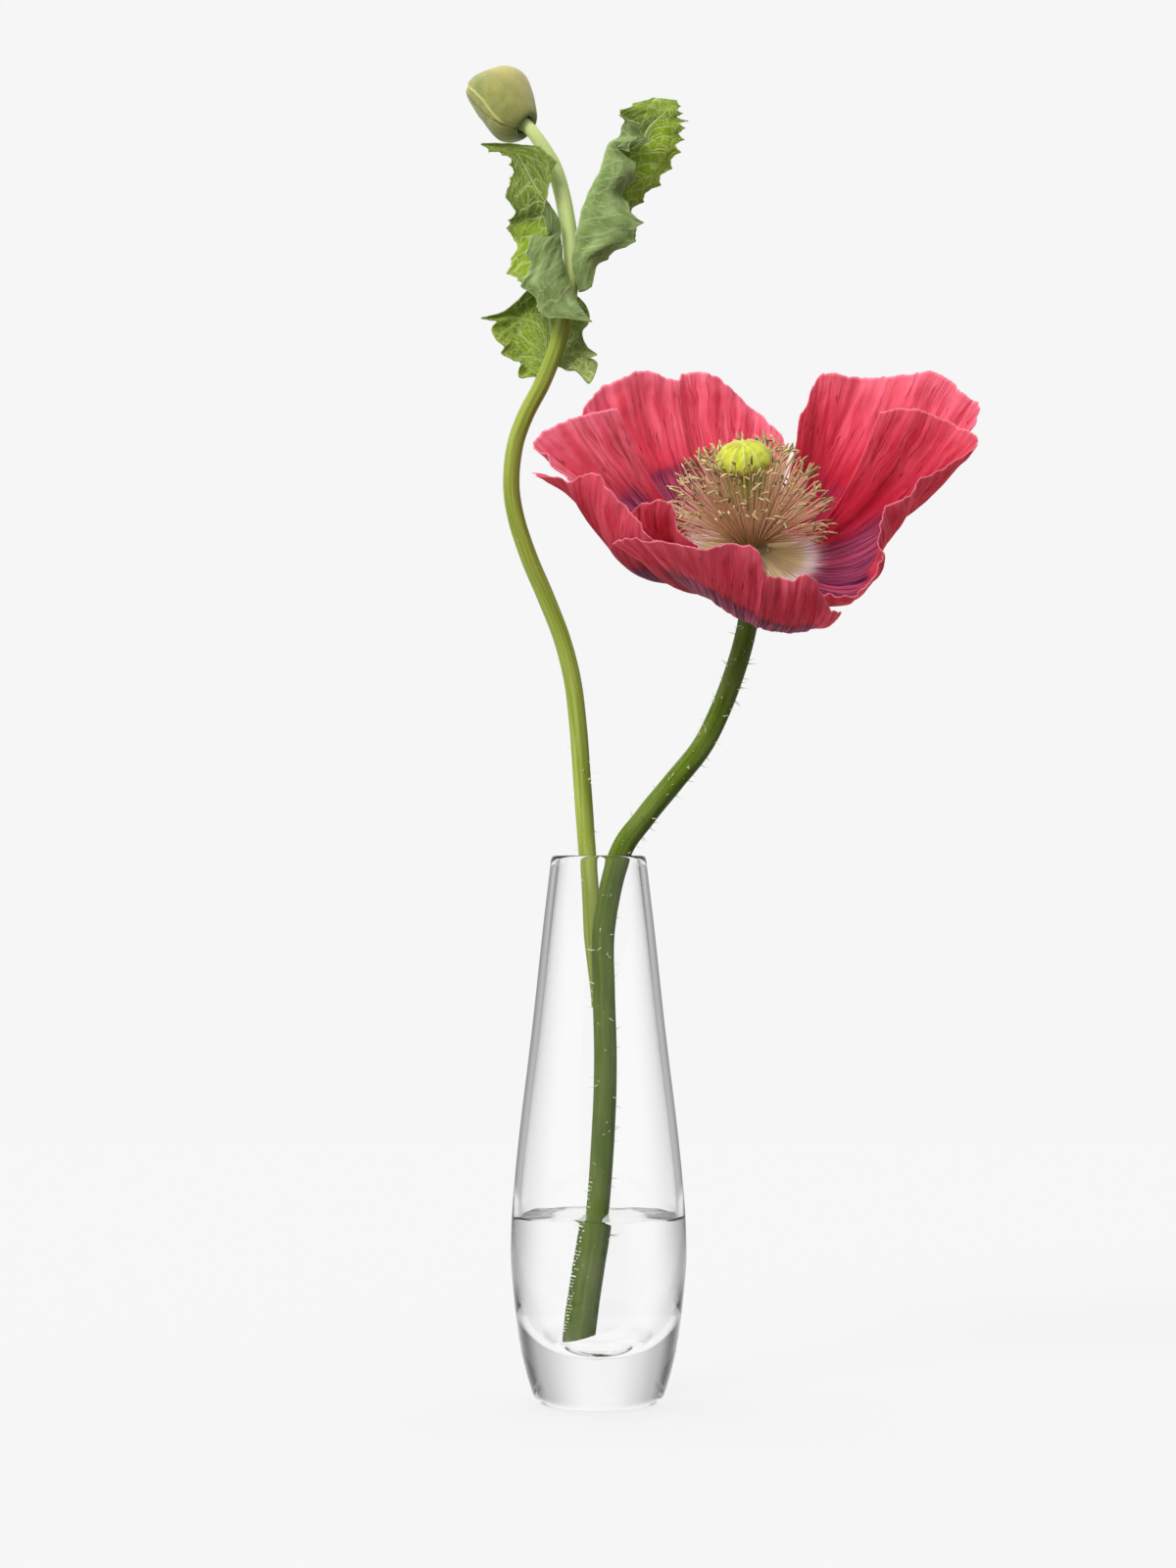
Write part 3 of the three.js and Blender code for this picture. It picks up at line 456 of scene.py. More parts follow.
budStem = {
    "radius": 2.6, "taper": (1.08, 0.94), "sides": 36, "steps": 380,
    "drawnEnd": 0.35, "drawnSpan": (0, 0.05), "waist": 0.16, "waistSpan": (0.82, 0.93),
    "flare": 0.12, "flareSpan": (0.96, 1),
    "hairs": 26, "hairLength": (1.6, 3.2), "hairSpan": (0.02, 0.2), "hairSeed": 8,
    "colours": ("#717d28", "#8b9641", "#bcca8a"), "paleSpan": (335, 364),
    "line": [
        (-1.2, 5.6, 122.5), (-1.9, 6.6, 143), (-2.7, 7.6, 160), (-4, 8.6, 177), (-5.2, 9.8, 194),
        (-6.4, 11, 210.4), (-8.2, 12, 225), (-11.6, 12.4, 238.4), (-16.7, 12.2, 251.5), (-21.9, 11.4, 263.7),
        (-25.9, 10.4, 275.9), (-27.4, 9.4, 286.5), (-26.2, 8.4, 298.1), (-22.8, 7.4, 307.8),
        (-17.7, 6.6, 317.6), (-13.7, 6.2, 327.6), (-10.9, 6, 337), (-9, 6, 347.4), (-8.4, 6, 356),
        (-9.4, 6, 366), (-11.3, 6, 376.4), (-13.8, 5.4, 384.7), (-16.8, 4.5, 390.4), (-19.8, 4, 394.9),
        (-22.3, 4.5, 397.9), (-24, 5.4, 399.1),
    ],
}
stemSkin = {"relief": 0.16, "fineRelief": 0.07, "wrap": 1.3}
hair = {
    "radius": 0.17, "taper": 0.85, "rings": 6, "sides": 3, "sunk": 0.15,
    "lean": (-0.5, 0.9), "bend": (-0.9, 0.9), "droop": 0.5, "droopOut": 0.4,
}
beads = {
    "number": 240, "radius": (0.09, 0.24), "span": (0.022, 0.155), "turn": (-0.3, 0.8), "rise": 0.05,
    "rings": 7, "sides": 8, "seed": 31,
}


def stemMaterial(name, stem):
    # Living stem: waxy skin over green tissue, with fine lengthwise ribs and pale specks
    material, tree, shader = startMaterial(name)
    dark, light, pale = (colour(code) for code in stem["colours"])
    paleFrom, paleTo = stem["paleSpan"]
    place = addNode(tree, "UVMap", {"uv_map": "millimetres"})
    ribWay = addNode(tree, "Mapping", inputs={0: place, "Scale": (1.1, 0.035, 1)})  # ribs about 1 mm apart
    ribs = addNode(tree, "TexNoise", inputs={"Vector": ribWay, "Scale": 1.0, "Detail": 3.0})
    patchWay = addNode(tree, "Mapping", inputs={0: place, "Scale": (0.18, 0.05, 1)})
    patches = addNode(tree, "TexNoise", inputs={"Vector": patchWay, "Scale": 1.0, "Detail": 2.0})
    ribShare = addNode(tree, "MapRange", inputs={0: ribs, 1: 0.36, 2: 0.64})
    skin = addNode(tree, "Mix", mixColours, {0: ribShare, 6: dark, 7: light})
    height = addNode(tree, "SeparateXYZ", inputs={0: addNode(tree, "TexCoord").outputs["Object"]})
    paleShare = addNode(tree, "MapRange", softRange, {
        0: height.outputs["Z"], 1: paleFrom * mm, 2: paleTo * mm, 3: 0.0, 4: 0.8,
    })
    skin = addNode(tree, "Mix", mixColours, {0: paleShare, 6: skin, 7: pale})
    patchShare = addNode(tree, "MapRange", inputs={0: patches, 1: 0.4, 2: 0.7, 4: 0.07})
    skin = addNode(tree, "Mix", mixColours, {0: patchShare, 6: skin, 7: pale})
    specks = addNode(tree, "TexVoronoi", inputs={"Vector": place, "Scale": 0.45})  # specks about 2 mm apart
    speckShare = addNode(tree, "MapRange", inputs={0: specks, 1: 0.1, 2: 0.04, 4: 0.5})
    skin = addNode(tree, "Mix", mixColours, {0: speckShare, 6: skin, 7: pale})
    bump = addNode(tree, "Bump", inputs={"Strength": 0.5, "Distance": 0.0002, "Height": ribs})
    feed(tree, shader, {
        "Base Color": skin, "Normal": bump, "Roughness": 0.55, "IOR": 1.38, "Specular IOR Level": 0.22,
        "Subsurface Weight": 0.15, "Subsurface Scale": 0.002, "Subsurface Radius": (0.6, 1.0, 0.2),
    })
    return material


def flowerStemRadiusAt(share):
    plain = flowerStem["radius"] * lerp(*flowerStem["taper"], share)
    return lerp(plain, flowerStem["swelling"], smooth(share, *flowerStem["swellSpan"]))


def budStemRadiusAt(share):
    drawnOut = lerp(budStem["drawnEnd"], 1, smooth(share, *budStem["drawnSpan"]))
    waist = 1 - budStem["waist"] * smooth(share, *budStem["waistSpan"])
    waist += budStem["flare"] * smooth(share, *budStem["flareSpan"])
    return budStem["radius"] * lerp(*budStem["taper"], share) * drawnOut * waist


def makeStem(node, stem, radiusAt, material):
    shares = np.linspace(0, 1, stem["steps"])
    line = splineThrough(stem["line"], shares)
    turn = np.linspace(0, 2 * np.pi, stem["sides"] + 1)
    turn[-1] = 0
    along = travelled(line[:, None], 0)
    east, north = np.cos(turn)[None] * stemSkin["wrap"], np.sin(turn)[None] * stemSkin["wrap"]
    relief = stemSkin["relief"] * roughness(east + along * 0.02, north + along * 0.011, 4.0)
    relief += stemSkin["fineRelief"] * roughness(east * 3, north * 3 + along * 0.05, 9.0)
    piece = ringPiece(node + "_skin", tubeRings(line, radiusAt(shares), stem["sides"], relief))
    if "cut" in stem:
        tilt = math.radians(stem["cutTilt"])
        cutBelow(piece, Vector(stem["cut"]) * mm, Vector((math.sin(tilt), 0, math.cos(tilt))))
    dress(piece, [material], node, node)
    return line


def hairMaterial():
    # Stiff plant hairs: pale, drawn a little thicker than real ones so that they show
    material, tree, shader = startMaterial("stemHair")
    feed(tree, shader, {"Base Color": colour("#eef0d2"), "Roughness": 0.5})
    return material


def makeHairs(node, stem, line, radiusAt):
    draw = random.Random(stem["hairSeed"])
    rise = np.linspace(0, 1, hair["rings"])
    straight = np.stack([0 * rise, 0 * rise, rise], -1)
    radii = hair["radius"] * (1 - hair["taper"] * rise)
    pattern = ringPiece("hair", tubeRings(straight, radii, hair["sides"]))
    ahead = unit(np.gradient(line, axis=0))
    spots = pointsOf(pattern)
    rise = spots[:, 2:3]
    shapes = []
    for _ in range(stem["hairs"]):
        draw.choice([0])  # an idle draw, on which every hair's place depends
        share = draw.uniform(*stem["hairSpan"])
        k = int(share * (len(line) - 1))
        out = unit(np.cross(ahead[k], [draw.gauss(0, 1) for _ in range(3)]))
        lean = unit(out + ahead[k] * draw.uniform(*hair["lean"]))
        side = unit(np.cross(lean, out + 0.01))
        length = draw.uniform(*stem["hairLength"])
        bend = draw.uniform(*hair["bend"])
        root = line[k] + out * (radiusAt(np.array([share]))[0] - hair["sunk"])
        flat = spots[:, 0:1] * side + spots[:, 1:2] * np.cross(lean, side)
        droop = (side * bend + out * abs(bend) * hair["droopOut"]) * rise**2 * hair["droop"] * length
        shapes.append(root + flat + lean * rise * length + droop)
    dress(copiesAs(node + "_hairs", pattern, shapes), [hairMaterial()], node)


def airMaterial():
    # Air beads on a wet stem: silvery, with a bright face; the near-white colour is a painted reflection
    material, tree, shader = startMaterial("airBeadPaintedShine")
    feed(tree, shader, {"Base Color": colour("#f2f4e6"), "Roughness": 0.15, "IOR": 1.33})
    return material


def makeBeads(line):  # on the front of the stem, below the water
    draw = random.Random(beads["seed"])
    ahead = unit(np.gradient(line, axis=0))
    turn = np.linspace(0, math.pi, beads["rings"])
    pattern = ringPiece("bead", turnedRings(np.stack([np.sin(turn), -np.cos(turn)], 1), beads["sides"]))
    spots = pointsOf(pattern)
    shapes = []
    for _ in range(beads["number"]):
        share, turn = draw.uniform(*beads["span"]), draw.uniform(*beads["turn"])
        k = int(share * (len(line) - 1))
        front = unit(np.cross([1.0, 0, 0], ahead[k]))
        out = np.cross(front, ahead[k]) * math.cos(turn) + front * math.sin(turn)
        centre = line[k] + out * (flowerStemRadiusAt(share) + beads["rise"])
        shapes.append(centre + spots * draw.uniform(*beads["radius"]))
    dress(copiesAs("stem_air_beads", pattern, shapes), [airMaterial()], "flower_stem")


def makeStems():
    darkGreen = stemMaterial("poppyStem", flowerStem)
    lightGreen = stemMaterial("youngPoppyStem", budStem)
    line = makeStem("flower_stem", flowerStem, flowerStemRadiusAt, darkGreen)
    makeHairs("flower_stem", flowerStem, line, flowerStemRadiusAt)
    makeBeads(line)
    line = makeStem("bud_stem", budStem, budStemRadiusAt, lightGreen)
    makeHairs("bud_stem", budStem, line, budStemRadiusAt)


# Bud
bud = {
    "base": (-24, 5.4, 399.1), "lean": (-25, -52.5), "length": 23.4, "sides": 180, "steps": 150,
    "hollow": 1.8, "flatness": 0.95, "seamTurn": -38, "gap": 0.3, "seamLip": 0.3, "parting": 0.9,
    "wrinkles": (0.13, 0.25, 0.07), "smoothAngle": 50,
    "bow": 3.6, "bowBack": 1.8,  # how far the middle leans out, and the tip back again
    "side": [
        (2.3, 1.8), (2.9, 0.6), (3.3, -1.2), (4.8, -1.9), (6.9, 0.2), (8.8, 3.4), (9.9, 7.6), (10, 11),
        (9.1, 15), (7, 18.6), (4.7, 21.6), (2.2, 23.2), (0, 23.4),
    ],
    "colours": {
        "dark": "#70763a", "light": "#8a8749", "brown": "#a0955a", "recessShade": "#5c6c36", "seam": "#b3b468",
    },
}


def budMaterial():
    # Sepals: dull olive skin with a brownish sun-side, painted shade round the hollow at their foot, and fine
    # lengthwise wrinkles
    material, tree, shader = startMaterial("budSepalSkin")
    codes = {place: colour(code) for place, code in bud["colours"].items()}
    tones = addNode(tree, "Attribute", {"attribute_name": "tones"})
    brown, recessShade, seam = addNode(tree, "SeparateColor", inputs={0: tones}).outputs
    place = addNode(tree, "TexCoord").outputs["Object"]
    # Spots of about 4 mm, where the real skin has finer ones among them
    mottle = addNode(tree, "TexNoise", inputs={"Vector": place, "Scale": 260.0, "Detail": 4.0})
    mottleShare = addNode(tree, "MapRange", inputs={0: mottle, 1: 0.35, 2: 0.68})
    skin = addNode(tree, "Mix", mixColours, {0: mottleShare, 6: codes["dark"], 7: codes["light"]})
    for share, part in ((brown, "brown"), (recessShade, "recessShade"), (seam, "seam")):
        skin = addNode(tree, "Mix", mixColours, {0: share, 6: skin, 7: codes[part]})
    along = addNode(tree, "UVMap", {"uv_map": "millimetres"})
    grainWay = addNode(tree, "Mapping", inputs={0: along, "Scale": (1.6, 0.22, 1)})  # wrinkles 0.6 mm apart
    grain = addNode(tree, "TexNoise", inputs={"Vector": grainWay, "Scale": 1.0, "Detail": 4.0})
    bump = addNode(tree, "Bump", inputs={"Strength": 0.6, "Distance": 0.0004, "Height": grain})
    feed(tree, shader, {
        "Base Color": skin, "Normal": bump, "Roughness": 0.6, "IOR": 1.4, "Sheen Weight": 0.15,
        "Subsurface Weight": 0.1, "Subsurface Scale": 0.002,
    })
    return material


def budRings():
    profile = splineThrough(bud["side"], np.linspace(0, 1, bud["steps"]))
    profile = np.vstack([[(0, bud["hollow"])], profile])
    profile[-1] = (0, bud["length"])
    rings = turnedRings(profile, bud["sides"])
    out = rings * (1, 1, 0)
    reach = np.linalg.norm(out, axis=-1, keepdims=True)
    out = out / np.maximum(reach, 1e-6)
    turn = np.arctan2(rings[..., 1], rings[..., 0])
    z = rings[..., 2]

    # Wrinkles, and the lip of the upper sepal over the seam
    body = smooth(reach[..., 0], 1.5, 5) * smooth(z, -2, 1)
    seamTurn = math.radians(bud["seamTurn"])
    offSeam = rings[..., 0] * math.cos(seamTurn) + rings[..., 1] * math.sin(seamTurn)
    narrow, broad, fine = bud["wrinkles"]
    wrinkles = narrow * roughness(np.cos(turn) * 9, np.sin(turn) * 9 + z * 0.04, 3.0)
    wrinkles += broad * roughness(np.cos(turn) * 2.4 + z * 0.05, np.sin(turn) * 2.4, 7.0)
    wrinkles += fine * roughness(np.cos(turn) * 16, np.sin(turn) * 16 + z * 0.12, 5.0)
    lip = np.exp(-(((offSeam - 0.7) / 0.5) ** 2)) - np.exp(-(((offSeam + 0.2) / 0.35) ** 2))
    rings = rings + out * ((wrinkles + bud["seamLip"] * lip * smooth(z, 0, 3)) * body)[..., None]
    parting = bud["parting"] * np.sign(offSeam) * smooth(z, 20.5, 23) * np.exp(-np.abs(offSeam) / 1.6)
    rings = rings + parting[..., None] * np.array([math.cos(seamTurn), math.sin(seamTurn), 0])
    rings[..., 1] *= bud["flatness"]
    rings[..., 0] += bud["bow"] * smooth(z, 0, 13) - bud["bowBack"] * smooth(z, 15, bud["length"])

    brown = smooth(rings[..., 0], 2, 12) * 0.75
    # Painted shade: darker green round the hollow at the foot of the bud
    recessShade = smooth(z, 1.5, -1.2) * smooth(reach[..., 0], 6.5, 3)
    seam = np.exp(-(((offSeam - 0.7) / 0.45) ** 2)) * smooth(z, 0, 3) * 0.7
    return rings, np.stack([brown, recessShade, seam, np.ones_like(z)], -1)


def makeBud():
    whole = ringPiece("bud_whole", *budRings())
    lean = [math.radians(a) for a in bud["lean"]]
    place = Matrix.Translation(Vector(bud["base"]) * mm)
    place = place @ Matrix.Rotation(lean[1], 4, "Y") @ Matrix.Rotation(lean[0], 4, "X")
    skin = budMaterial()
    seamTurn = math.radians(bud["seamTurn"])
    across = Vector((math.cos(seamTurn), math.sin(seamTurn), 0))
    for node, side in (("bud_sepal_upper", 1), ("bud_sepal_lower", -1)):
        half = twin(whole)
        half.name = half.data.name = node + "_skin"
        cutBelow(half, across * side * 0.5 * bud["gap"] * mm, across * side)
        bpy.ops.object.shade_smooth_by_angle(angle=math.radians(bud["smoothAngle"]))
        moveMesh(half, place)
        dress(half, [skin], "bud", node)
    bpy.data.objects.remove(whole)


# Petals
bloom = {
    "centre": (47.2, -4, 256.7), "tilt": 28, "heartRise": 11, "heartLean": -5.5,
    "receptacle": 5, "clawRise": 11, "gap": 0.3,
}
petalSheet = {
    "thickness": 0.22, "rows": 112, "spacing": 0.47,
    # How high each kind of relief stands, and its size across and along the petal
    "heights": {"fold": 1.2, "pleat": 0.8, "crumple": 0.55, "crease": 0.2, "fine": 0.07, "frill": 0.35},
    "sizes": {
        "fold": (12, 50), "pleat": (6.5, 60), "crumple": (4.2, 9), "crinkle": (2.2, 3.6),
        "crease": (2.3, 26), "fine": (1.3, 7), "frill": (2.4, 4),
    },
    "tears": [(0.8, 3.1, 11), (0.45, 1.1, 13)],  # depth and size of the rim's notches, and their seed
}
petalZones = {  # millimetres from the claw, or from the rim, over which each colour comes in
    "blotchFrom": (8, 18), "blotchTo": (48, 34), "base": (24, 6), "paleFrom": (18, 40), "paleTo": (45, 3),
    "edge": (0.7, 0.1), "rim": (7, 1), "edgeShare": 0.4, "rimShare": 0.2,
}
frontLevel = -3.4
outerLevel = -3
innerLevel = -1.9
# Ribs: angle round the bloom, reach and rise of the rim, reach and rise of the belly, rise of the floor.
# Waves of the rim: height, how many, and shift
# Pale: how pale a petal grows towards its rim; partly its own colour, partly painted light, set higher on the
# back and left petals where the light falls brightest
petals = {
    "petal_back_left": {
        "level": outerLevel, "claw": (150, 78), "floor": 0.55,
        "waves": [(0.9, 5, 0), (0.5, 8, 0.3)], "blotch": 0.9, "pale": 1.3,
        "ribs": [
            (156, 60, 41, 50, 13, 5), (149, 57, 48, 49, 15, 5), (140, 54.5, 51, 47, 16, 5),
            (128, 52, 52, 46, 16, 5), (118, 50, 47.5, 45, 15, 5), (113, 49.5, 49.5, 44, 15, 5),
            (101, 48, 47, 42, 14, 5), (89, 46, 37.5, 39, 11, 5), (76, 41, 31.5, 33, 9, 5),
            (69, 33.5, 28, 27, 8, 5),
        ],
    },
    "petal_back_right": {
        "level": outerLevel, "claw": (70, 24), "floor": 0.55,
        "waves": [(0.9, 4, 0.2), (0.5, 7, 0)], "blotch": 0.35, "pale": 0.85,
        "ribs": [
            (62, 34, 39, 27, 12, 5), (64, 44, 46, 34, 14, 5), (61, 51, 49.5, 38, 15, 5),
            (54, 58, 47.5, 43, 14, 5), (43, 64, 49, 48, 15, 5), (34, 69, 52.5, 52, 16, 5),
            (26, 75, 47.5, 55, 14, 5), (21, 76, 45, 56, 13, 5), (17, 71.5, 40.5, 53, 12, 5),
        ],
    },
    "petal_left": {
        "level": innerLevel, "claw": (152, 186.5), "floor": 0.5,
        "waves": [(0.5, 3, 0.1), (0.4, 6, 0.4)], "blotch": 0.7, "pale": 1.1,
        "ribs": [
            (151.5, 48.2, 46.5, 32, 15.5, 5), (161, 53.3, 47, 37, 17, 5), (170, 59, 47.3, 42, 18, 5),
            (179, 66.6, 45, 46, 20, 5), (184, 63.5, 41.5, 43, 23, 5), (189, 58, 36.5, 38, 24, 5),
            (193, 52.5, 33.5, 34, 23, 5),
        ],
    },
    "petal_front_left": {
        "level": innerLevel, "claw": (190, 230), "floor": 0.68,
        "waves": [(0.7, 4, 0.3)], "blotch": 0.9, "pale": 0.4,
        "ribs": [
            (186, 68.5, 37.5, 50, 36, 0), (190.5, 64, 38.5, 52, 29, -1), (195, 58.5, 38, 54, 22, -2),
            (198, 53, 41.5, 56, 20, -3), (205, 49, 39.6, 57, 19, -4), (215, 47.2, 34, 53, 18, -3),
            (226, 46, 28, 43, 19, -4), (233, 45, 25, 40, 18, -4),
        ],
    },
    "petal_inner": {
        "level": -0.8, "claw": (206, 236), "floor": 0.68,
        "waves": [(0.5, 2, 0.1)], "blotch": 0.1, "pale": 0.4,
        "ribs": [
            (206, 42.5, 29, 42, 15, 6), (213, 40.7, 34, 40, 15, 6), (219, 38, 35.8, 39, 14, 6),
            (225, 36.6, 34, 37, 14, 6), (230, 36.3, 29, 36, 13, 6), (239, 34, 23, 34, 12, 6),
        ],
    },
    "petal_front": {
        "level": frontLevel, "claw": (233, 300), "floor": 0.68,
        "waves": [(0.8, 5, 0.2), (0.4, 9, 0)], "blotch": 0.85, "fade": (52, 44), "pale": 0.55,
        "ribs": [
            (224, 60.6, 28.3, 46, 20, -5), (228, 59, 32.4, 46, 21, -5), (236, 58, 32, 47, 20, -5),
            (249, 57, 33, 50, 18, -5), (260, 55, 34, 54, 13, -7), (269, 55, 33, 55, 9, -8),
            (273, 54, 25, 55, 7, -8), (280, 55, 22.5, 56, 3, -8.4), (285, 55, 25, 57, 2, -8.4),
            (290, 53.5, 18.5, 54, 1, -8), (295, 52, 10.7, 50, 1, -7), (301.5, 50.4, 6.6, 47, 0, -6),
        ],
    },
    "petal_right": {
        "level": innerLevel, "claw": (22, -61), "floor": 0.6,
        "waves": [(0.7, 6, 0.1), (0.4, 10, 0.3)], "blotch": 0.62, "pale": 0.45,
        "ribs": [
            (23, 43.8, 47.6, 32, 17, 5), (16.6, 52.6, 49.8, 38, 18, 5), (10, 64, 45.4, 45, 17, 4),
            (5, 69, 43.7, 48, 17, 3), (-2, 60, 38, 49, 21, 2), (-9, 52, 35.6, 49, 22, 0),
            (-19, 47, 33, 50, 19, -2), (-29, 44, 28.7, 50, 15, -3), (-36, 46, 22.3, 49, 11, -3),
            (-39.5, 50, 18.4, 49, 8, -3), (-48, 49, 13.6, 46, 4, -2), (-53, 47, 9.8, 43.5, 3, -1.5),
            (-60, 41, 10, 37, 6, -1), (-66, 35, 11, 31, 7.5, 0),
        ],
    },
}
petalColours = {
    "deep": "#c81e38", "bright": "#d6324c", "light": "#f88aa0", "rim": "#f8b0c2", "crease": "#9a0e2a",
    "inner": "#b81436", "blotch": "#66264e", "blotchLight": "#ca5a78",
    "base": "#e6dcaa", "basePale": "#f8f0ee", "baseVein": "#a4607e",
}


def petalMaterial():
    # Poppy petal: a thin silky sheet of cells that light shines through, veined from the claw to the rim
    material, tree, shader = startMaterial("poppyPetal")
    codes = {place: colour(code) for place, code in petalColours.items()}
    place = addNode(tree, "UVMap", {"uv_map": "millimetres"})
    tones = addNode(tree, "Attribute", {"attribute_name": "tones"})
    blotch, base, rim = addNode(tree, "SeparateColor", inputs={0: tones}).outputs
    outer = addNode(tree, "Attribute", {"attribute_name": "tones"}).outputs["Alpha"]

    # All patterns wander a little sideways, so that no line is straight
    wander = addNode(tree, "TexNoise", inputs={"Vector": place, "Scale": 0.12, "Detail": 2.0})
    bent = addNode(tree, "VectorMath", productPlus, {0: wander.outputs["Color"], 1: (2.4, 0, 0), 2: place})
    veinWay = addNode(tree, "Mapping", inputs={0: bent, "Scale": (2.2, 0.07, 1)})
    veins = addNode(tree, "TexNoise", inputs={
        "Vector": veinWay, "Scale": 1.0, "Detail": 3.0, "Roughness": 0.55,
    })
    # Painted light: broad pale stripes along the petal that stand for the lit crests of its folds
    foldLightWay = addNode(tree, "Mapping", inputs={0: bent, "Scale": (0.42, 0.045, 1)})
    foldLight = addNode(tree, "TexNoise", inputs={"Vector": foldLightWay, "Scale": 1.0, "Detail": 2.0})
    creaseWay = addNode(tree, "Mapping", inputs={0: bent, "Scale": (0.45, 0.02, 1)})
    creases = addNode(tree, "TexNoise", inputs={"Vector": creaseWay, "Scale": 1.0, "Detail": 1.5})
    veinShare = addNode(tree, "MapRange", inputs={0: veins, 1: 0.38, 2: 0.62})
    foldLightShare = addNode(tree, "MapRange", inputs={0: foldLight, 1: 0.36, 2: 0.66, 3: 0.18, 4: 0.42})
    crinkles = addNode(tree, "TexNoise", {"noise_type": "RIDGED_MULTIFRACTAL"}, {
        "Vector": bent, "Scale": 0.36, "Detail": 5.0, "Roughness": 0.6,
    })
    # Painted highlights: pale pink on the crests of the crinkles
    crinkleHighlightShare = addNode(tree, "MapRange", inputs={0: crinkles, 1: 0.6, 2: 1.4, 4: 0.2})
    # Thin dark crease lines: painted shade in the creases, and the dips of the bump
    offCrease = addNode(tree, "Math", {"operation": "SUBTRACT"}, {0: creases, 1: 0.5})
    offCrease = addNode(tree, "Math", {"operation": "ABSOLUTE"}, {0: offCrease})
    creaseShadeAndDip = addNode(tree, "MapRange", softRange, {0: offCrease, 1: 0.014, 2: 0.0, 4: 0.65})

    # Crimson, with painted shade deeper inside the cup, and paler towards the rim
    red = addNode(tree, "Mix", mixColours, {0: veinShare, 6: codes["deep"], 7: codes["bright"]})
    zones = addNode(tree, "TexNoise", inputs={"Vector": bent, "Scale": 0.07, "Detail": 1.0})
    # Painted shade: deeper crimson down in the cup, where the pale tone is low; random deeper zones join it
    cupShade = addNode(tree, "MapRange", softRange, {0: outer, 1: 0.5, 2: 0.1, 4: 0.6})
    depth = addNode(tree, "MapRange", softRange, {0: zones, 1: 0.5, 2: 0.64, 4: 0.5})
    depth = addNode(tree, "Math", larger, {0: cupShade, 1: depth})
    red = addNode(tree, "Mix", mixColours, {0: depth, 6: red, 7: codes["inner"]})
    # Paler pink towards the rim, set by the pale tone and laid on in the stripes of painted fold light
    paleness = addNode(tree, "MapRange", {"clamp": True}, {0: outer, 1: 0.1, 2: 1.0, 3: 0.12, 4: 2.0})
    paleness = addNode(tree, "Math", {**product, "use_clamp": True}, {0: paleness, 1: foldLightShare})
    for share, part in ((paleness, "light"), (crinkleHighlightShare, "light"), (creaseShadeAndDip, "crease")):
        red = addNode(tree, "Mix", mixColours, {0: share, 6: red, 7: codes[part]})

    # Purple blotch with a ragged edge, drawn by veins that fan out
    rayWay = addNode(tree, "Mapping", inputs={0: bent, "Scale": (0.7, 0.02, 1)})
    rays = addNode(tree, "TexNoise", inputs={"Vector": rayWay, "Scale": 1.0, "Detail": 3.0})
    rayShare = addNode(tree, "MapRange", inputs={0: rays, 1: 0.4, 2: 0.6})
    purple = addNode(tree, "Mix", mixColours, {0: rayShare, 6: codes["blotch"], 7: codes["blotchLight"]})
    ragged = addNode(tree, "Math", productPlus, {0: veins, 1: 1.6, 2: -0.8})
    blotchEdge = addNode(tree, "Math", inputs={0: blotch, 1: ragged})
    blotchShare = addNode(tree, "MapRange", softRange, {0: blotchEdge, 1: 0.2, 2: 0.6})
    edgeShare = addNode(tree, "MapRange", softRange, {0: blotch, 1: 0.75, 2: 0.4, 4: 0.6})
    purple = addNode(tree, "Mix", mixColours, {0: edgeShare, 6: purple, 7: codes["blotch"]})
    skin = addNode(tree, "Mix", mixColours, {0: blotchShare, 6: red, 7: purple})

    # Cream claw, with purple veins, and the pale rim
    paler = addNode(tree, "MapRange", softRange, {0: base, 1: 0.95, 2: 0.6})
    cream = addNode(tree, "Mix", mixColours, {0: paler, 6: codes["base"], 7: codes["basePale"]})
    drawn = addNode(tree, "MapRange", inputs={0: rays, 1: 0.48, 2: 0.4, 4: 0.75})
    cream = addNode(tree, "Mix", mixColours, {0: drawn, 6: cream, 7: codes["baseVein"]})
    baseEdge = addNode(tree, "Math", inputs={0: base, 1: ragged})
    baseShare = addNode(tree, "MapRange", softRange, {0: baseEdge, 1: 0.25, 2: 0.6})
    skin = addNode(tree, "Mix", mixColours, {0: baseShare, 6: skin, 7: cream})
    skin = addNode(tree, "Mix", mixColours, {0: rim, 6: skin, 7: codes["rim"]})

    height = addNode(tree, "Math", productPlus, {0: crinkles, 1: 0.5, 2: veins})
    height = addNode(tree, "Math", productPlus, {0: creaseShadeAndDip, 1: -1.2, 2: height})
    bump = addNode(tree, "Bump", inputs={"Strength": 0.45, "Distance": 0.0005, "Height": height})
    feed(tree, shader, {
        "Base Color": skin, "Normal": bump, "Roughness": 0.55, "IOR": 1.38,
        "Sheen Weight": 0.08, "Sheen Roughness": 0.4, "Specular IOR Level": 0.3,
    })
    glow = addNode(tree, "Gamma", inputs={0: skin, 1: 0.8})  # the light that comes through is a paler red
    through = addNode(tree, "BsdfTranslucent", inputs={"Color": glow, "Normal": bump})
    both = addNode(tree, "MixShader", inputs={0: 0.5, 1: shader, 2: through})
    feed(tree, tree.nodes["Material Output"], {"Surface": both})
    return material


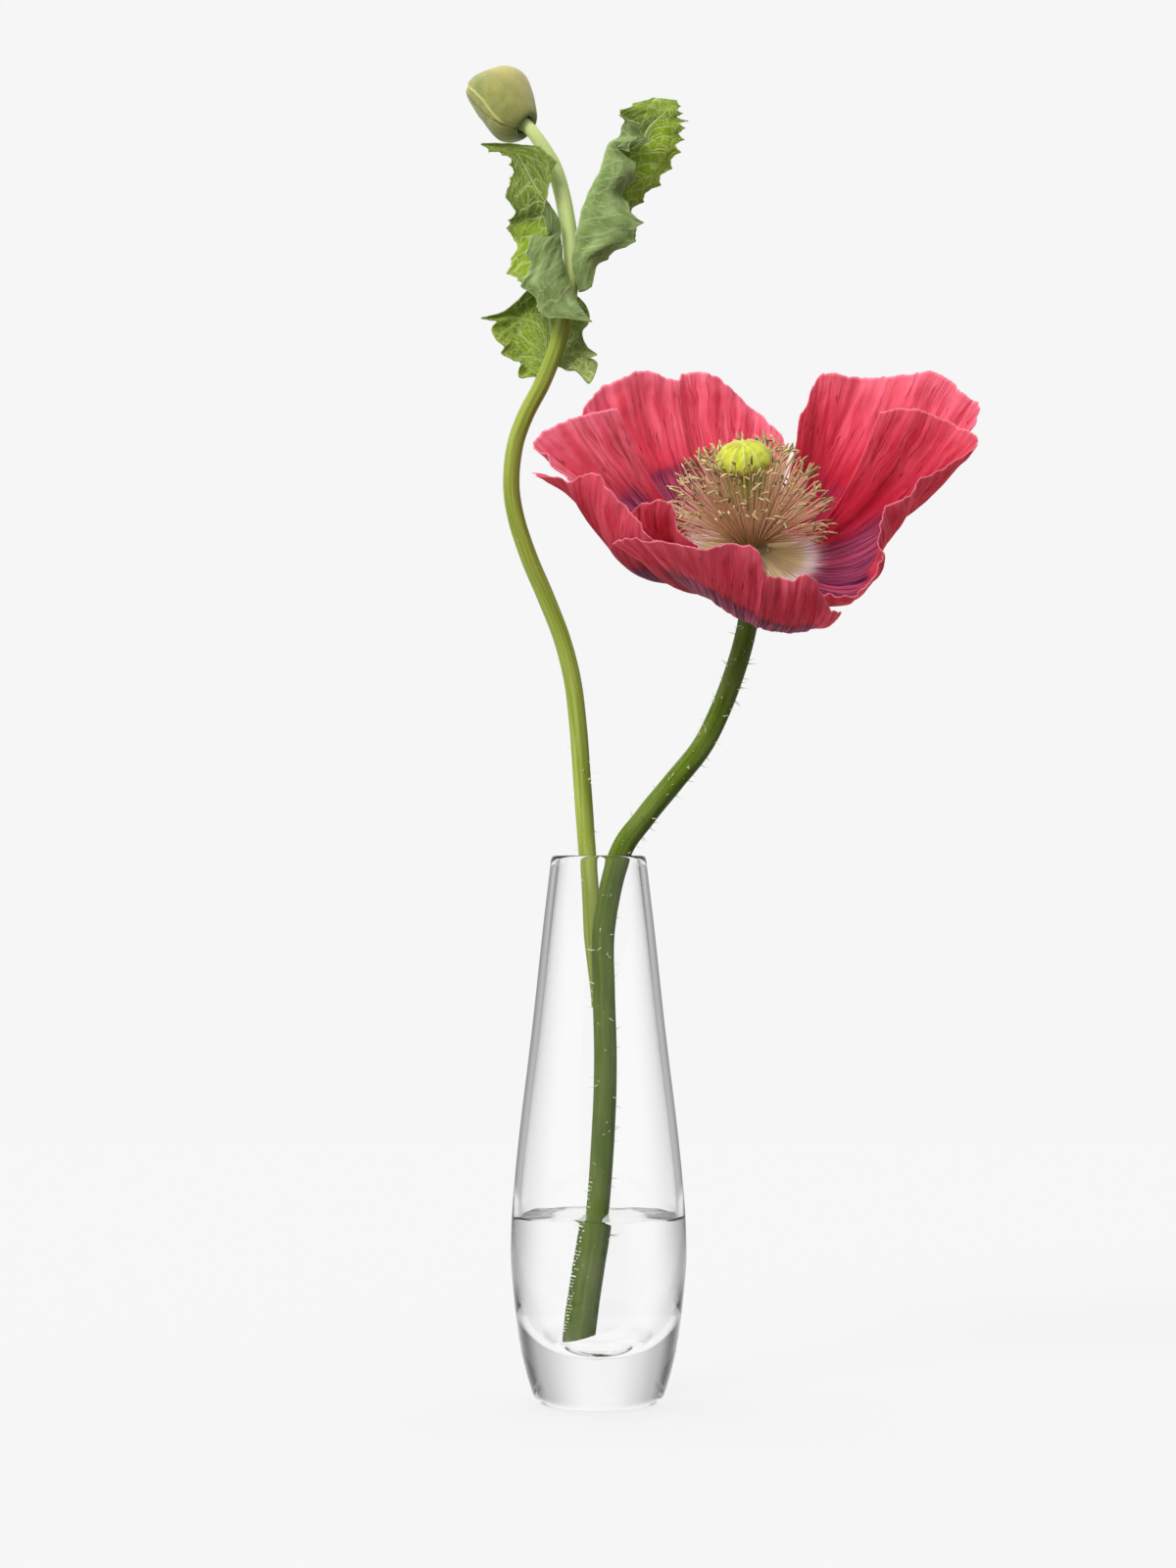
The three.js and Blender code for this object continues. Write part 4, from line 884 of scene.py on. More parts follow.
def petalPlaces(petal, rows, columns):  # each rib is a curve from the claw over floor and belly to the rim
    u, v = np.linspace(0, 1, rows)[:, None], np.linspace(0, 1, columns)
    ribs = np.array(petal["ribs"], float)
    angle, reach, rise, bellyReach, bellyRise, floorRise = splineThrough(ribs, v).T
    level = petal["level"]
    start = np.array([bloom["receptacle"] + bloom["gap"], level + bloom["clawRise"]])
    starts = start[:, None] * np.ones_like(v)
    floor = np.array([petal["floor"] * bellyReach, level + floorRise])
    belly, top = np.array([bellyReach, bellyRise]), np.array([reach, rise])
    weights = [(1 - u) ** 3, 3 * (1 - u) ** 2 * u, 3 * (1 - u) * u**2, u**3]
    out, up = (sum(w * p[k] for w, p in zip(weights, (starts, floor, belly, top))) for k in (0, 1))
    turn = np.radians(lerp(lerp(*petal["claw"], v)[None], angle[None], u**0.8))
    wave = sum(size * np.sin(2 * np.pi * (count * v + shift)) for size, count, shift in petal["waves"])
    wave = wave[None] * u**2.2
    return np.stack([(out - wave) * np.cos(turn), (out - wave) * np.sin(turn), up + 0.5 * wave], -1)


def petalRelief(u, across, along, seed):
    def rough(kind, turn):
        sizes = petalSheet["sizes"][kind]
        return roughness(across / sizes[0], along / sizes[1], seed + turn)

    heights = petalSheet["heights"]
    opened = smooth(u, 0.1, 0.75)
    pleats = np.abs(rough("pleat", 0)) ** 0.8 * 2 - 0.6
    crumples = rough("crumple", 3) + 0.25 * rough("crinkle", 4)
    creases = np.abs(rough("crease", 2)) * 2 - 0.5
    relief = heights["fold"] * rough("fold", 9) * opened + heights["pleat"] * pleats * opened
    relief += heights["crumple"] * crumples * smooth(u, 0.3, 0.9)
    relief += heights["crease"] * creases * smooth(u, 0.08, 0.5)
    relief += heights["fine"] * rough("fine", 5) + heights["frill"] * rough("frill", 7) * smooth(u, 0.82, 1)
    return relief


def petalTones(petal, v, width, along):
    edge = along[-1] - along
    side = np.minimum(v, 1 - v) * width
    middle = smooth(v, 0.02, 0.25) * smooth(v, 0.98, 0.75)
    fade = petal.get("fade", petalZones["blotchTo"])
    blotch = smooth(along, *petalZones["blotchFrom"]) * smooth(along, *fade) * middle * petal["blotch"]
    base = smooth(along, *petalZones["base"])
    rim = petalZones["edgeShare"] * smooth(np.minimum(edge, side * 1.5), *petalZones["edge"])
    # The rim and the pale tone scale with the petal's pale factor: partly its own paleness, partly painted
    # light and shade
    rim += petalZones["rimShare"] * smooth(edge, *petalZones["rim"]) * petal["pale"]
    pale = petal["pale"] * smooth(edge, *petalZones["paleTo"]) * smooth(along, *petalZones["paleFrom"])
    return np.stack([blotch, base, rim, pale], -1)


def bloomPlace():
    tilt = Matrix.Rotation(math.radians(bloom["tilt"]), 4, "X")
    return Matrix.Translation(Vector(bloom["centre"]) * mm) @ tilt


def makePetals():
    silk = petalMaterial()
    for number, (node, petal) in enumerate(petals.items()):
        seed = 10.0 * number
        width = travelled(petalPlaces(petal, 12, 40)[-1:], 1)[0, -1]
        rows, columns = petalSheet["rows"], int(width / petalSheet["spacing"])
        places = petalPlaces(petal, rows, columns)
        u = np.linspace(0, 1, rows)[:, None] * np.ones(columns)
        v = np.ones((rows, 1)) * np.linspace(0, 1, columns)
        along, across = travelled(places, 0), v * width
        relief = petalRelief(u, across, along, seed)
        ragged = sum(
            depth * roughness(across / size, 0 * v, seed + turn) for depth, size, turn in petalSheet["tears"]
        )
        ragged = unit(np.gradient(places, axis=0)) * (ragged * smooth(u, 0.8, 1))[..., None]
        places = places + sheetNormals(places) * relief[..., None] + ragged
        tones = petalTones(petal, v, width, along)
        piece = sheetPiece(node + "_silk", places, across, along, tones)
        thicken(piece, petalSheet["thickness"])
        moveMesh(piece, bloomPlace())
        dress(piece, [silk], "petal", node)


# Stamens and pistil
stamens = {
    "rows": [  # how many, radius and height of their feet, and how steep they stand
        (48, 4.4, 0.6, 0), (50, 4.25, 0.9, 0.16), (52, 4.1, 1.2, 0.32), (50, 3.9, 1.5, 0.48),
        (48, 3.75, 1.8, 0.64), (44, 3.6, 2.1, 0.8), (38, 3.4, 2.4, 0.92), (30, 3.2, 2.6, 1),
    ],
    "filament": 0.2, "anther": 0.42, "antherLength": 3.2, "length": 16.5, "steepLength": 12,
    "filamentRings": [(-0.02, 1.3), (0.25, 1), (0.5, 1), (0.72, 1), (0.9, 0.8)],  # place, width
    "antherRings": [(0.12, 0.7), (0.4, 1), (0.72, 0.9), (1, 0.45)],
    "flattest": {"side": 7, "behind": 20, "before": 40}, "steepest": 76, "sides": 4, "seed": 21,
    "spread": {  # how far they differ among themselves
        "turn": (-0.4, 0.4), "elevation": (-4, 4), "length": (-3, 1), "sag": (-0.06, 0.1),
        "drift": (-0.05, 0.05), "swing": (-1.1, 1.1), "droop": (-0.9, 0.5), "forward": (0, 0.5),
        "antherSize": (0.75, 1.15), "width": (0.85, 1.15),
    },
    "antherBend": 0.45, "shade": 0.8,
    "colours": {
        "pollen": "#9c8450", "pollenLight": "#dcc890", "pollenDark": "#7c6a4c",
        "foot": "#dcd29a", "thread": "#f2dcc0",
    },
}
pistil = {
    "rays": 12, "sides": 144, "steps": 150, "height": 33.7, "ridge": 0.35,
    "side": [
        (2.4, 0.3), (2.5, 2), (3.1, 4.6), (4.5, 8.6), (5.8, 13.2), (6.6, 17.6), (6.4, 22), (5.9, 24.8),
        (7.8, 25.8), (8.5, 27.4), (8.1, 29.4), (6.5, 31.5), (3.6, 33.1), (0, 33.7),
    ],
    "colours": {"capsule": "#8c9a3c", "dome": "#8f9a1a", "domeLight": "#b4b82a", "ray": "#b9a878"},
}


def heartPlace():
    lean = Matrix.Rotation(math.radians(bloom["heartLean"]), 4, "Y")
    return bloomPlace() @ Matrix.Translation((0, 0, bloom["heartRise"] * mm)) @ lean


def stamenMaterial():
    # Filaments: wet-looking pinkish threads. Anthers: dry khaki pollen sacs
    material, tree, shader = startMaterial("stamenThreadAndPollen")
    codes = {place: colour(code) for place, code in stamens["colours"].items()}
    tones = addNode(tree, "Attribute", {"attribute_name": "tones"})
    anther, shade, height = addNode(tree, "SeparateColor", inputs={0: tones}).outputs
    place = addNode(tree, "TexCoord").outputs["Object"]
    # Pollen in clumps of about 1 mm, as its grains are far too fine to draw
    dust = addNode(tree, "TexNoise", inputs={"Vector": place, "Scale": 700.0, "Detail": 3.0})
    dustShare = addNode(tree, "MapRange", inputs={0: dust, 1: 0.35, 2: 0.65})
    pollen = addNode(tree, "Mix", mixColours, {0: dustShare, 6: codes["pollen"], 7: codes["pollenLight"]})
    pollen = addNode(tree, "Mix", mixColours, {0: shade, 6: pollen, 7: codes["pollenDark"]})
    thread = addNode(tree, "Mix", mixColours, {0: height, 6: codes["foot"], 7: codes["thread"]})
    skin = addNode(tree, "Mix", mixColours, {0: anther, 6: thread, 7: pollen})
    feed(tree, shader, {"Base Color": skin, "Roughness": 0.6, "IOR": 1.4})
    through = addNode(tree, "BsdfTranslucent", inputs={"Color": skin})
    share = addNode(tree, "MapRange", inputs={0: anther, 3: 0.5, 4: 0.1})
    both = addNode(tree, "MixShader", inputs={0: share, 1: shader, 2: through})
    feed(tree, tree.nodes["Material Output"], {"Surface": both})
    return material


def makeStamens():
    draw = random.Random(stamens["seed"])

    def drawn(part):
        return draw.uniform(*stamens["spread"][part])

    filamentShare, filamentWidths = np.array(stamens["filamentRings"]).T
    antherShare, antherWidths = np.array(stamens["antherRings"]).T
    radii = np.concatenate([stamens["filament"] * filamentWidths, stamens["anther"] * antherWidths])
    net = (len(radii) + 2, stamens["sides"] + 1)
    pattern = sheetPiece("stamen", np.zeros((*net, 3)), np.zeros(net), np.zeros(net), np.zeros((*net, 4)))
    height = np.concatenate([[0], filamentShare, np.ones(len(antherShare) + 1)])
    height = smooth(height, 0, 0.5)[:, None]
    rise = filamentShare[:, None] / filamentShare[-1]
    along = antherShare[:, None]
    flattest, lift = stamens["flattest"], np.array([0, 0, 1.0])
    shapes, tones = [], []
    for row, (number, footRing, footHeight, steepness) in enumerate(stamens["rows"]):
        for i in range(number):
            turn = 2 * math.pi * (i + row * 0.37 + drawn("turn")) / number
            behind, before = max(math.sin(turn), 0), max(-math.sin(turn), 0)
            lowest = flattest["side"] - flattest["side"] * math.cos(turn)
            lowest += flattest["behind"] * behind
            lowest += flattest["before"] * before**1.3
            elevation = math.radians(lerp(lowest, stamens["steepest"], steepness) + drawn("elevation"))
            length = stamens["length"] + stamens["steepLength"] * math.sin(elevation) + drawn("length")
            out = np.array([math.cos(turn), math.sin(turn), 0])
            aside = np.array([-math.sin(turn), math.cos(turn), 0])
            start = out * footRing + lift * footHeight
            way = out * math.cos(elevation) + lift * math.sin(elevation)
            sag = drawn("sag")
            drift = drawn("drift")
            tip = start + way * length + aside * drift * length
            bow = (lift * sag + aside * drift) * length * (rise * (1 - rise))
            thread = start + (tip - start) * rise + bow
            swing = drawn("swing")
            droop = drawn("droop")
            heading = unit(way + aside * swing + lift * droop + out * drawn("forward"))
            bend = unit(np.array([draw.gauss(0, 1) for _ in range(3)]))
            size = stamens["antherLength"] * drawn("antherSize")
            sac = thread[-1] + heading * along * size + bend * stamens["antherBend"] * size * along * along
            rings = tubeRings(np.vstack([thread, sac]), radii * drawn("width"), stamens["sides"])
            shapes.append(rings.reshape(-1, 3))
            tone = np.zeros((*net, 4))
            tone[len(thread) + 1 :, :, 0] = 1
            tone[:, :, 1] = draw.random() * stamens["shade"]
            tone[:, :, 2] = height
            tones.append(tone.reshape(-1, 4))
    piece = copiesAs("stamen_spray", pattern, shapes)
    layer = piece.data.color_attributes["tones"]
    layer.data.foreach_set("color", np.concatenate(tones).astype(np.float32).ravel())
    closeUp(piece)
    moveMesh(piece, heartPlace())
    dress(piece, [stamenMaterial()], "stamen", "stamens")


def pistilMaterial():
    # Capsule: waxy pale green. Stigma: yellow-green dome with velvety pale rays
    material, tree, shader = startMaterial("poppyCapsule")
    codes = {place: colour(code) for place, code in pistil["colours"].items()}
    tones = addNode(tree, "Attribute", {"attribute_name": "tones"})
    cap, ray, _ = addNode(tree, "SeparateColor", inputs={0: tones}).outputs
    place = addNode(tree, "TexCoord").outputs["Object"]
    # Grain of about 2 mm, coarser than the real down
    grain = addNode(tree, "TexNoise", inputs={"Vector": place, "Scale": 500.0, "Detail": 4.0})
    grainShare = addNode(tree, "MapRange", inputs={0: grain, 1: 0.3, 2: 0.7})
    dome = addNode(tree, "Mix", mixColours, {0: grainShare, 6: codes["dome"], 7: codes["domeLight"]})
    skin = addNode(tree, "Mix", mixColours, {0: cap, 6: codes["capsule"], 7: dome})
    skin = addNode(tree, "Mix", mixColours, {0: ray, 6: skin, 7: codes["ray"]})
    bump = addNode(tree, "Bump", inputs={"Strength": 0.3, "Distance": 0.0002, "Height": grain})
    feed(tree, shader, {
        "Base Color": skin, "Normal": bump, "Roughness": 0.55, "IOR": 1.4,
        "Subsurface Weight": 0.2, "Subsurface Scale": 0.002, "Sheen Weight": 0.2,
    })
    return material


def makePistil():
    profile = splineThrough(pistil["side"], np.linspace(0, 1, pistil["steps"]))
    profile[:, 0] = np.maximum(profile[:, 0], 0)
    profile = np.vstack([[(0, pistil["side"][0][1])], profile])
    profile[-1] = (0, pistil["height"])
    rings = turnedRings(profile, pistil["sides"])
    turn = np.arctan2(rings[..., 1], rings[..., 0])
    reach = np.hypot(rings[..., 0], rings[..., 1])
    z = rings[..., 2]
    cap = smooth(z, 25, 26.6)
    wave = np.cos(pistil["rays"] * turn)
    crest = np.maximum(wave, 0) ** 3
    valley = np.maximum(-wave, 0)
    swell = 1 + cap * (0.03 * wave + 0.02 * crest) * smooth(reach, 0.5, 3)
    rings[..., :2] *= swell[..., None]
    ridges = pistil["ridge"] * crest - pistil["ridge"] * valley
    rings[..., 2] += cap * ridges * smooth(reach, 0.4, 2) * smooth(reach, 9, 7)
    ray = cap * np.maximum(wave, 0) ** 10 * smooth(z, 26.6, 28) * smooth(reach, 0.3, 1.2)
    tones = np.stack([cap, ray * 0.85, 0 * z, np.ones_like(z)], -1)
    piece = ringPiece("pistil_body", rings, tones)
    moveMesh(piece, heartPlace())
    dress(piece, [pistilMaterial()], "pistil", "pistil")


# Leaves
leafSheet = {
    "origin": (-9.4, 6, 350.5), "thickness": 0.3, "spacing": 0.42,
    "pucker": 0.45, "puckerSize": 4, "grain": 0.15, "grainSize": 1.5, "veinDip": 0.1,
    "ribWidth": 0.55, "veinSpacing": 4.6, "edgeWidth": 0.5,
    "toothLean": 0.012, "toothReach": 1.25, "smallTeeth": 0.3,
}
# Each row of a net runs across its leaf, from edge to edge, and the rows go from the stalk to the tip
rightLeafNet = [
    [(7.3, -6, -3.4), (5.2, -5.2, -4.6), (3.5, -2.7, -4.6), (4, -1.4, -4), (4.1, 0, -3.7), (4, 1.5, -3.4),
     (3.4, 2.8, -3)],
    [(9.7, -7, 4), (5.2, -8.5, 4.3), (1.1, -6, 4.9), (3.6, -4.2, 5.2), (6.4, -1.5, 4.3), (8.5, 1, 6.7),
     (10.4, 3, 7.9)],
    [(20.3, -9, 10.6), (12.2, -11, 10.7), (2.1, -7, 10.4), (6.1, -3.2, 10.7), (10, -1, 11.9),
     (13.7, 1.5, 12.8), (17, 5, 14.6)],
    [(21.2, -8, 17.6), (12.8, -11, 17.7), (3.7, -8, 17.4), (7.9, -3.5, 18.3), (12.2, -1.5, 19.5),
     (16, 0, 20.1), (19.4, 3, 20.9)],
    [(17, -7.6, 25), (12, -10.5, 25.3), (6.2, -8, 25.6), (10.7, -4, 26.2), (15.2, -3, 27),
     (20.2, -2, 26.6), (24.2, 0, 26)],
    [(21.6, -9, 33), (16.1, -11.4, 32.9), (10.4, -8.5, 33.4), (14.3, -5, 33.9), (18.6, -4, 33.6),
     (24.4, -4, 32.8), (30, -2, 32.2)],
    [(16.6, -10.2, 38.6), (14.2, -11, 40.6), (12.2, -8.8, 40), (16.4, -6.2, 39.4), (21.4, -5, 38.8),
     (27.4, -5.4, 38.4), (33.2, -4, 38)],
    [(23.8, -11.6, 41.4), (19.8, -11.4, 42.4), (15.9, -8.8, 43), (20.6, -6.6, 43), (25, -5.8, 42.8),
     (30, -6.2, 42.8), (34.8, -5.4, 42.6)],
    [(21.4, -13, 46.2), (19, -12, 46.4), (17, -9.2, 46.4), (21.4, -7, 46.4), (26, -6.2, 46.6),
     (30.8, -6.6, 46.6), (35.4, -6.4, 46.4)],
    [(15.6, -12.2, 49.4), (16.8, -10.6, 49.2), (19.4, -8.4, 48.8), (23.2, -7, 49), (27.2, -6.4, 49.2),
     (31.2, -6.8, 49.2), (35, -6.8, 49)],
    [(18.6, -8.8, 52), (20.8, -8.2, 52), (23.6, -7.4, 51.8), (26.4, -6.8, 51.8), (29.2, -6.6, 51.8),
     (31.8, -6.9, 51.8), (34.4, -7, 51.6)],
    [(25.4, -5.6, 55.6), (26.8, -5.8, 55.6), (28.4, -6, 55.5), (29.9, -6.2, 55.3), (31.4, -6.4, 55.1),
     (32.8, -6.6, 54.9), (34.2, -6.8, 54.6)],
]
leftLeafNet = [
    [(2.6, -3.2, -10.1), (3.1, -3.1, -9.8), (3.7, -3, -9.6), (5.6, -4.5, -12.3), (7.4, -5.5, -14.3)],
    [(-2.5, -3.6, -8), (0.3, -3.8, -8), (2.9, -3.6, -8.2), (2.8, -7, -11.6), (-0.3, -8.5, -13.7)],
    [(-8.1, -3.2, -5.5), (-3.5, -4, -5.6), (1.2, -4, -4.9), (-2.8, -8.5, -9.3), (-8.8, -9, -12.4)],
    [(-13.4, -1.5, -2.8), (-7.1, -3, -2.8), (0.1, -4.2, -2.5), (-4.5, -8.8, -5.5), (-9.8, -9.5, -8.4)],
    [(-15.7, 0, -0.3), (-8.5, -2.4, -0.3), (-0.7, -4.2, 0), (-7.3, -9, -1.5), (-14.4, -9.2, -2.6)],
    [(-18.8, 1, 2), (-10.6, -2, 2.7), (-1.4, -4.2, 3.5), (-6.6, -8.6, 2.5), (-12, -8.8, 2)],
    [(-17.7, 1.5, 6), (-10.2, -1.8, 6.6), (-2.1, -4.2, 7.7), (-7, -8.2, 7), (-12.6, -8.5, 6)],
    [(-16.2, 1, 11.2), (-10.2, -1.8, 11.2), (-2.6, -4.2, 11.9), (-6.6, -7.8, 11.4), (-11.9, -8.2, 11.7)],
    [(-18.9, 0.5, 15), (-11.3, -1.8, 14.3), (-2.9, -4.2, 14.3), (-4.6, -6.5, 13.5), (-6.3, -7.8, 12.9)],
    [(-18.7, -0.5, 17), (-12, -2, 17.8), (-3.1, -4.4, 17.5), (-5.3, -7, 17.1), (-7.7, -8.5, 17.4)],
    [(-17.2, -3.5, 19.7), (-12.3, -4, 20.9), (-6.3, -5, 22.4), (-6.7, -7.2, 21.6), (-7.7, -9, 20.8)],
    [(-19.3, -5, 27.2), (-13.7, -5, 26.5), (-8.4, -5, 25.1), (-7.3, -6, 25.3), (-6.4, -7, 25.7)],
    [(-17.5, -5.5, 31.3), (-14.7, -5, 30.7), (-11.1, -4.8, 29.6), (-8.4, -6, 31.2), (-5.5, -7.5, 31)],
    [(-17.6, -6, 34.7), (-15.8, -5.5, 34.4), (-13.7, -5.2, 34.5), (-9.5, -6.4, 35), (-4.2, -8, 35.4)],
    [(-19.6, -6.2, 37.8), (-17.9, -6, 38.2), (-16.2, -6, 38.2), (-12.6, -7, 39.1), (-8.9, -8, 39.8)],
    [(-23.4, -6.4, 38.8), (-22.7, -6.3, 39.5), (-21.7, -6.2, 40.1), (-19.2, -6.8, 40.7), (-16.6, -7.4, 41)],
    [(-27.1, -6.6, 40.8), (-27.1, -6.6, 40.9), (-27.3, -6.6, 41), (-27.1, -6.7, 41.2), (-26.8, -6.8, 41.4)],
]
lowerLeafNet = [
    [(-7.3, 3.8, -27.4), (-7.4, 3.9, -26.8), (-7.4, 4.1, -26), (-7.3, 4.3, -25.2), (-7, 4.4, -24.5),
     (-6.6, 4.5, -24), (-6.1, 4.6, -23.6), (-5.5, 4.7, -23.4), (-4.9, 4.6, -23.4), (-4.4, 4.5, -23.8),
     (-4, 4.3, -24.6), (-3.7, 4.1, -25.6), (-3.6, 3.9, -26.4), (-3.7, 3.7, -27)],
    [(-9.1, 3.4, -28.6), (-10.7, 4, -27.7), (-11.6, 4.6, -25), (-11.3, 5.4, -21.6), (-10.7, 6.2, -18.6),
     (-9.4, 7, -15.2), (-7.3, 8, -12.8), (-4.6, 8.6, -12.2), (-0.9, 8.6, -13.7), (0.3, 7.6, -17.1),
     (0, 6.4, -20.7), (0, 5, -23.8), (-0.6, 4, -26.2), (-2.1, 3.3, -27.7)],
    [(-10, 2.4, -29.8), (-13.1, 2.6, -27.7), (-15.8, 2.6, -25), (-16.7, 3.6, -20.1), (-16.4, 5.4, -15.8),
     (-14.3, 7, -11.3), (-10.4, 9, -7.6), (-4.3, 9.6, -6.4), (2.1, 8.6, -8.8), (3.7, 6.4, -14.6),
     (2.7, 4.6, -19.5), (4.3, 3, -23.1), (3, 1.6, -27.7), (-0.6, 1.6, -28.6)],
    [(-9.2, 3.7, -30.6), (-11.6, 2, -30.6), (-15.2, 0, -31.1), (-15.5, -0.2, -28), (-14.3, 0, -25.8),
     (-17.1, 0, -25.5), (-20.8, -1, -23.6), (-19.9, -1, -21.5), (-22.3, -1, -19.4), (-24.1, -0.6, -15.8),
     (-22.6, 0.5, -13.2), (-27.4, -1.8, -12.6), (-20.5, 2, -10.2), (-16, 4, -6.4), (-12.4, 6.4, -2.6),
     (-6.1, 7.6, -1.2), (-1, 8, -2.4), (3.2, 7, -5), (6, 5, -9), (6.6, 3.6, -12.6), (4.7, 2.6, -15.8),
     (4.7, 2, -18.6), (5.9, 1, -21.4), (9, -0.4, -23.9), (6.3, -0.8, -24.8), (9, -1.6, -27),
     (6.5, -2.2, -33.2), (3.4, -1.6, -29.6), (0.4, -0.6, -27.8)],
]
leaves = {
    "leaf_right": {"net": rightLeafNet, "teeth": 13, "depth": 2, "ruffle": 0.6, "midrib": 0.34, "slope": 0.9},
    "leaf_left": {"net": leftLeafNet, "teeth": 14, "depth": 1.1, "ruffle": 0.4, "midrib": 0.5, "slope": 0.8},
    "leaf_lower": {"net": lowerLeafNet, "teeth": 0, "depth": 0, "ruffle": 0, "midrib": 0.5, "slope": 0},
}
# The green upper side and the side below, with its bluish bloom of wax; glow is the colour of a painted glow
# of light through the blade
leafSides = {
    "poppyLeafUpper": {
        "dark": "#5f771e", "light": "#7c912c", "vein": "#ccd694", "glow": "#89a312", "wax": "#7c8d44",
        "roughness": 0.5, "veins": 1.0, "net": 0.5, "hollowVeins": True,
    },
    "poppyLeafUnder": {
        "dark": "#718944", "light": "#96ab6a", "vein": "#b8c493", "glow": "#91a568", "wax": "#91a568",
        "roughness": 0.6, "veins": 0.7, "net": 0.32, "hollowVeins": False,
    },
}


def leafMaterial(name, looks):
    # Poppy leaf: matt thin blade that lets yellow-green light through, with a pale net of veins and a painted
    # glow where the light shines through
    material, tree, shader = startMaterial(name)
    codes = {place: colour(looks[place]) for place in ("dark", "light", "vein", "glow", "wax")}
    tones = addNode(tree, "Attribute", {"attribute_name": "tones"})
    veinTone, paintedGlowTone, edgeTone = addNode(tree, "SeparateColor", inputs={0: tones}).outputs
    place = addNode(tree, "UVMap", {"uv_map": "millimetres"})
    broadWay = addNode(tree, "Mapping", inputs={0: place, "Scale": (0.3, 0.1, 1)})
    broad = addNode(tree, "TexNoise", inputs={"Vector": broadWay, "Scale": 1.0, "Detail": 4.0})
    broadShare = addNode(tree, "MapRange", inputs={0: broad, 1: 0.38, 2: 0.64})
    skin = addNode(tree, "Mix", mixColours, {0: broadShare, 6: codes["dark"], 7: codes["light"]})
    for share, part in ((paintedGlowTone, "glow"), (tones.outputs["Alpha"], "wax")):
        skin = addNode(tree, "Mix", mixColours, {0: share, 6: skin, 7: codes[part]})

    # A net of veinlets in two sizes, about 3 and 1 mm, between the drawn main veins
    wander = addNode(tree, "TexNoise", inputs={"Vector": place, "Scale": 0.5, "Detail": 2.0})
    bent = addNode(tree, "VectorMath", productPlus, {0: wander.outputs["Color"], 1: (1.6, 1.6, 0), 2: place})
    net = addNode(tree, "TexVoronoi", {"feature": "DISTANCE_TO_EDGE"}, {"Vector": bent, "Scale": 0.3})
    mesh = addNode(tree, "TexVoronoi", {"feature": "DISTANCE_TO_EDGE"}, {"Vector": bent, "Scale": 0.95})
    netShare = addNode(tree, "MapRange", softRange, {0: net, 1: 0.06, 2: 0.015, 4: looks["net"]})
    meshShare = addNode(tree, "MapRange", softRange, {0: mesh, 1: 0.06, 2: 0.0, 4: 0.5 * looks["net"]})
    finer = addNode(tree, "Math", larger, {0: netShare, 1: meshShare})
    veinShare = addNode(tree, "Math", product, {0: veinTone, 1: looks["veins"]})
    bothVeins = addNode(tree, "Math", larger, {0: finer, 1: veinShare})
    for share in (bothVeins, edgeTone):
        skin = addNode(tree, "Mix", mixColours, {0: share, 6: skin, 7: codes["vein"]})
    bump = addNode(tree, "Bump", {"invert": looks["hollowVeins"]}, {
        "Strength": 0.5, "Distance": 0.0003, "Height": bothVeins,
    })
    feed(tree, shader, {
        "Base Color": skin, "Normal": bump, "Roughness": looks["roughness"], "IOR": 1.4, "Sheen Weight": 0.1,
    })
    through = addNode(tree, "BsdfTranslucent", inputs={"Color": skin, "Normal": bump})
    both = addNode(tree, "MixShader", inputs={0: 0.34, 1: shader, 2: through})  # a third shines through
    feed(tree, tree.nodes["Material Output"], {"Surface": both})
    return material


def netPlaces(net, u, v):  # rows through their points, then curves through the rows
    rows = np.array([splineThrough(row, v) for row in net])
    return np.stack([splineThrough(rows[:, k], u, even=False) for k in range(len(v))], 1)


def toothSizes(teeth, depth):  # the same uneven draw as in the solid leaf
    state, sizes = teeth, []
    for _ in range(2 * teeth + 2):
        state = (state * 1664525 + 1013904223) % 4294967296
        sizes.append(depth * (0.45 + state / 4294967296))
    return np.array(sizes)


def leafPlaces(leaf, u, v):
    places = netPlaces(leaf["net"], u, v)
    teeth = leaf["teeth"]
    if not teeth:
        return places
    inward = netPlaces(leaf["net"], u, np.where(v < 0.5, v + 0.03, v - 0.03))
    outwards = unit(places - inward)
    outer = np.abs(2 * v - 1)[None]
    sizes = toothSizes(teeth, leaf["depth"])
    size = sizes[np.minimum(2 * (teeth * u[:, None]).astype(int) + (v[None] >= 0.5), len(sizes) - 1)]
    bent = u[:, None] + leafSheet["toothLean"] * outer  # the points lean towards the tip
    tooth = size * leafSheet["toothReach"] * (1 - np.abs(np.cos(np.pi * teeth * bent)) - 0.35)
    tooth = tooth + leafSheet["smallTeeth"] * (1 - np.abs(np.cos(3 * np.pi * teeth * bent)) - 0.3)
    places = places + outwards * (tooth * smooth(outer, 0.72, 1) * smooth(u, 0.04, 0.12)[:, None])[..., None]
    wave = leaf["ruffle"] * np.sin(np.pi * teeth * u)[:, None] * outer**3
    places[..., 1] += wave * smooth(u, 0.06, 0.2)[:, None] * (1 - smooth(u, 0.9, 1))[:, None]
    return places


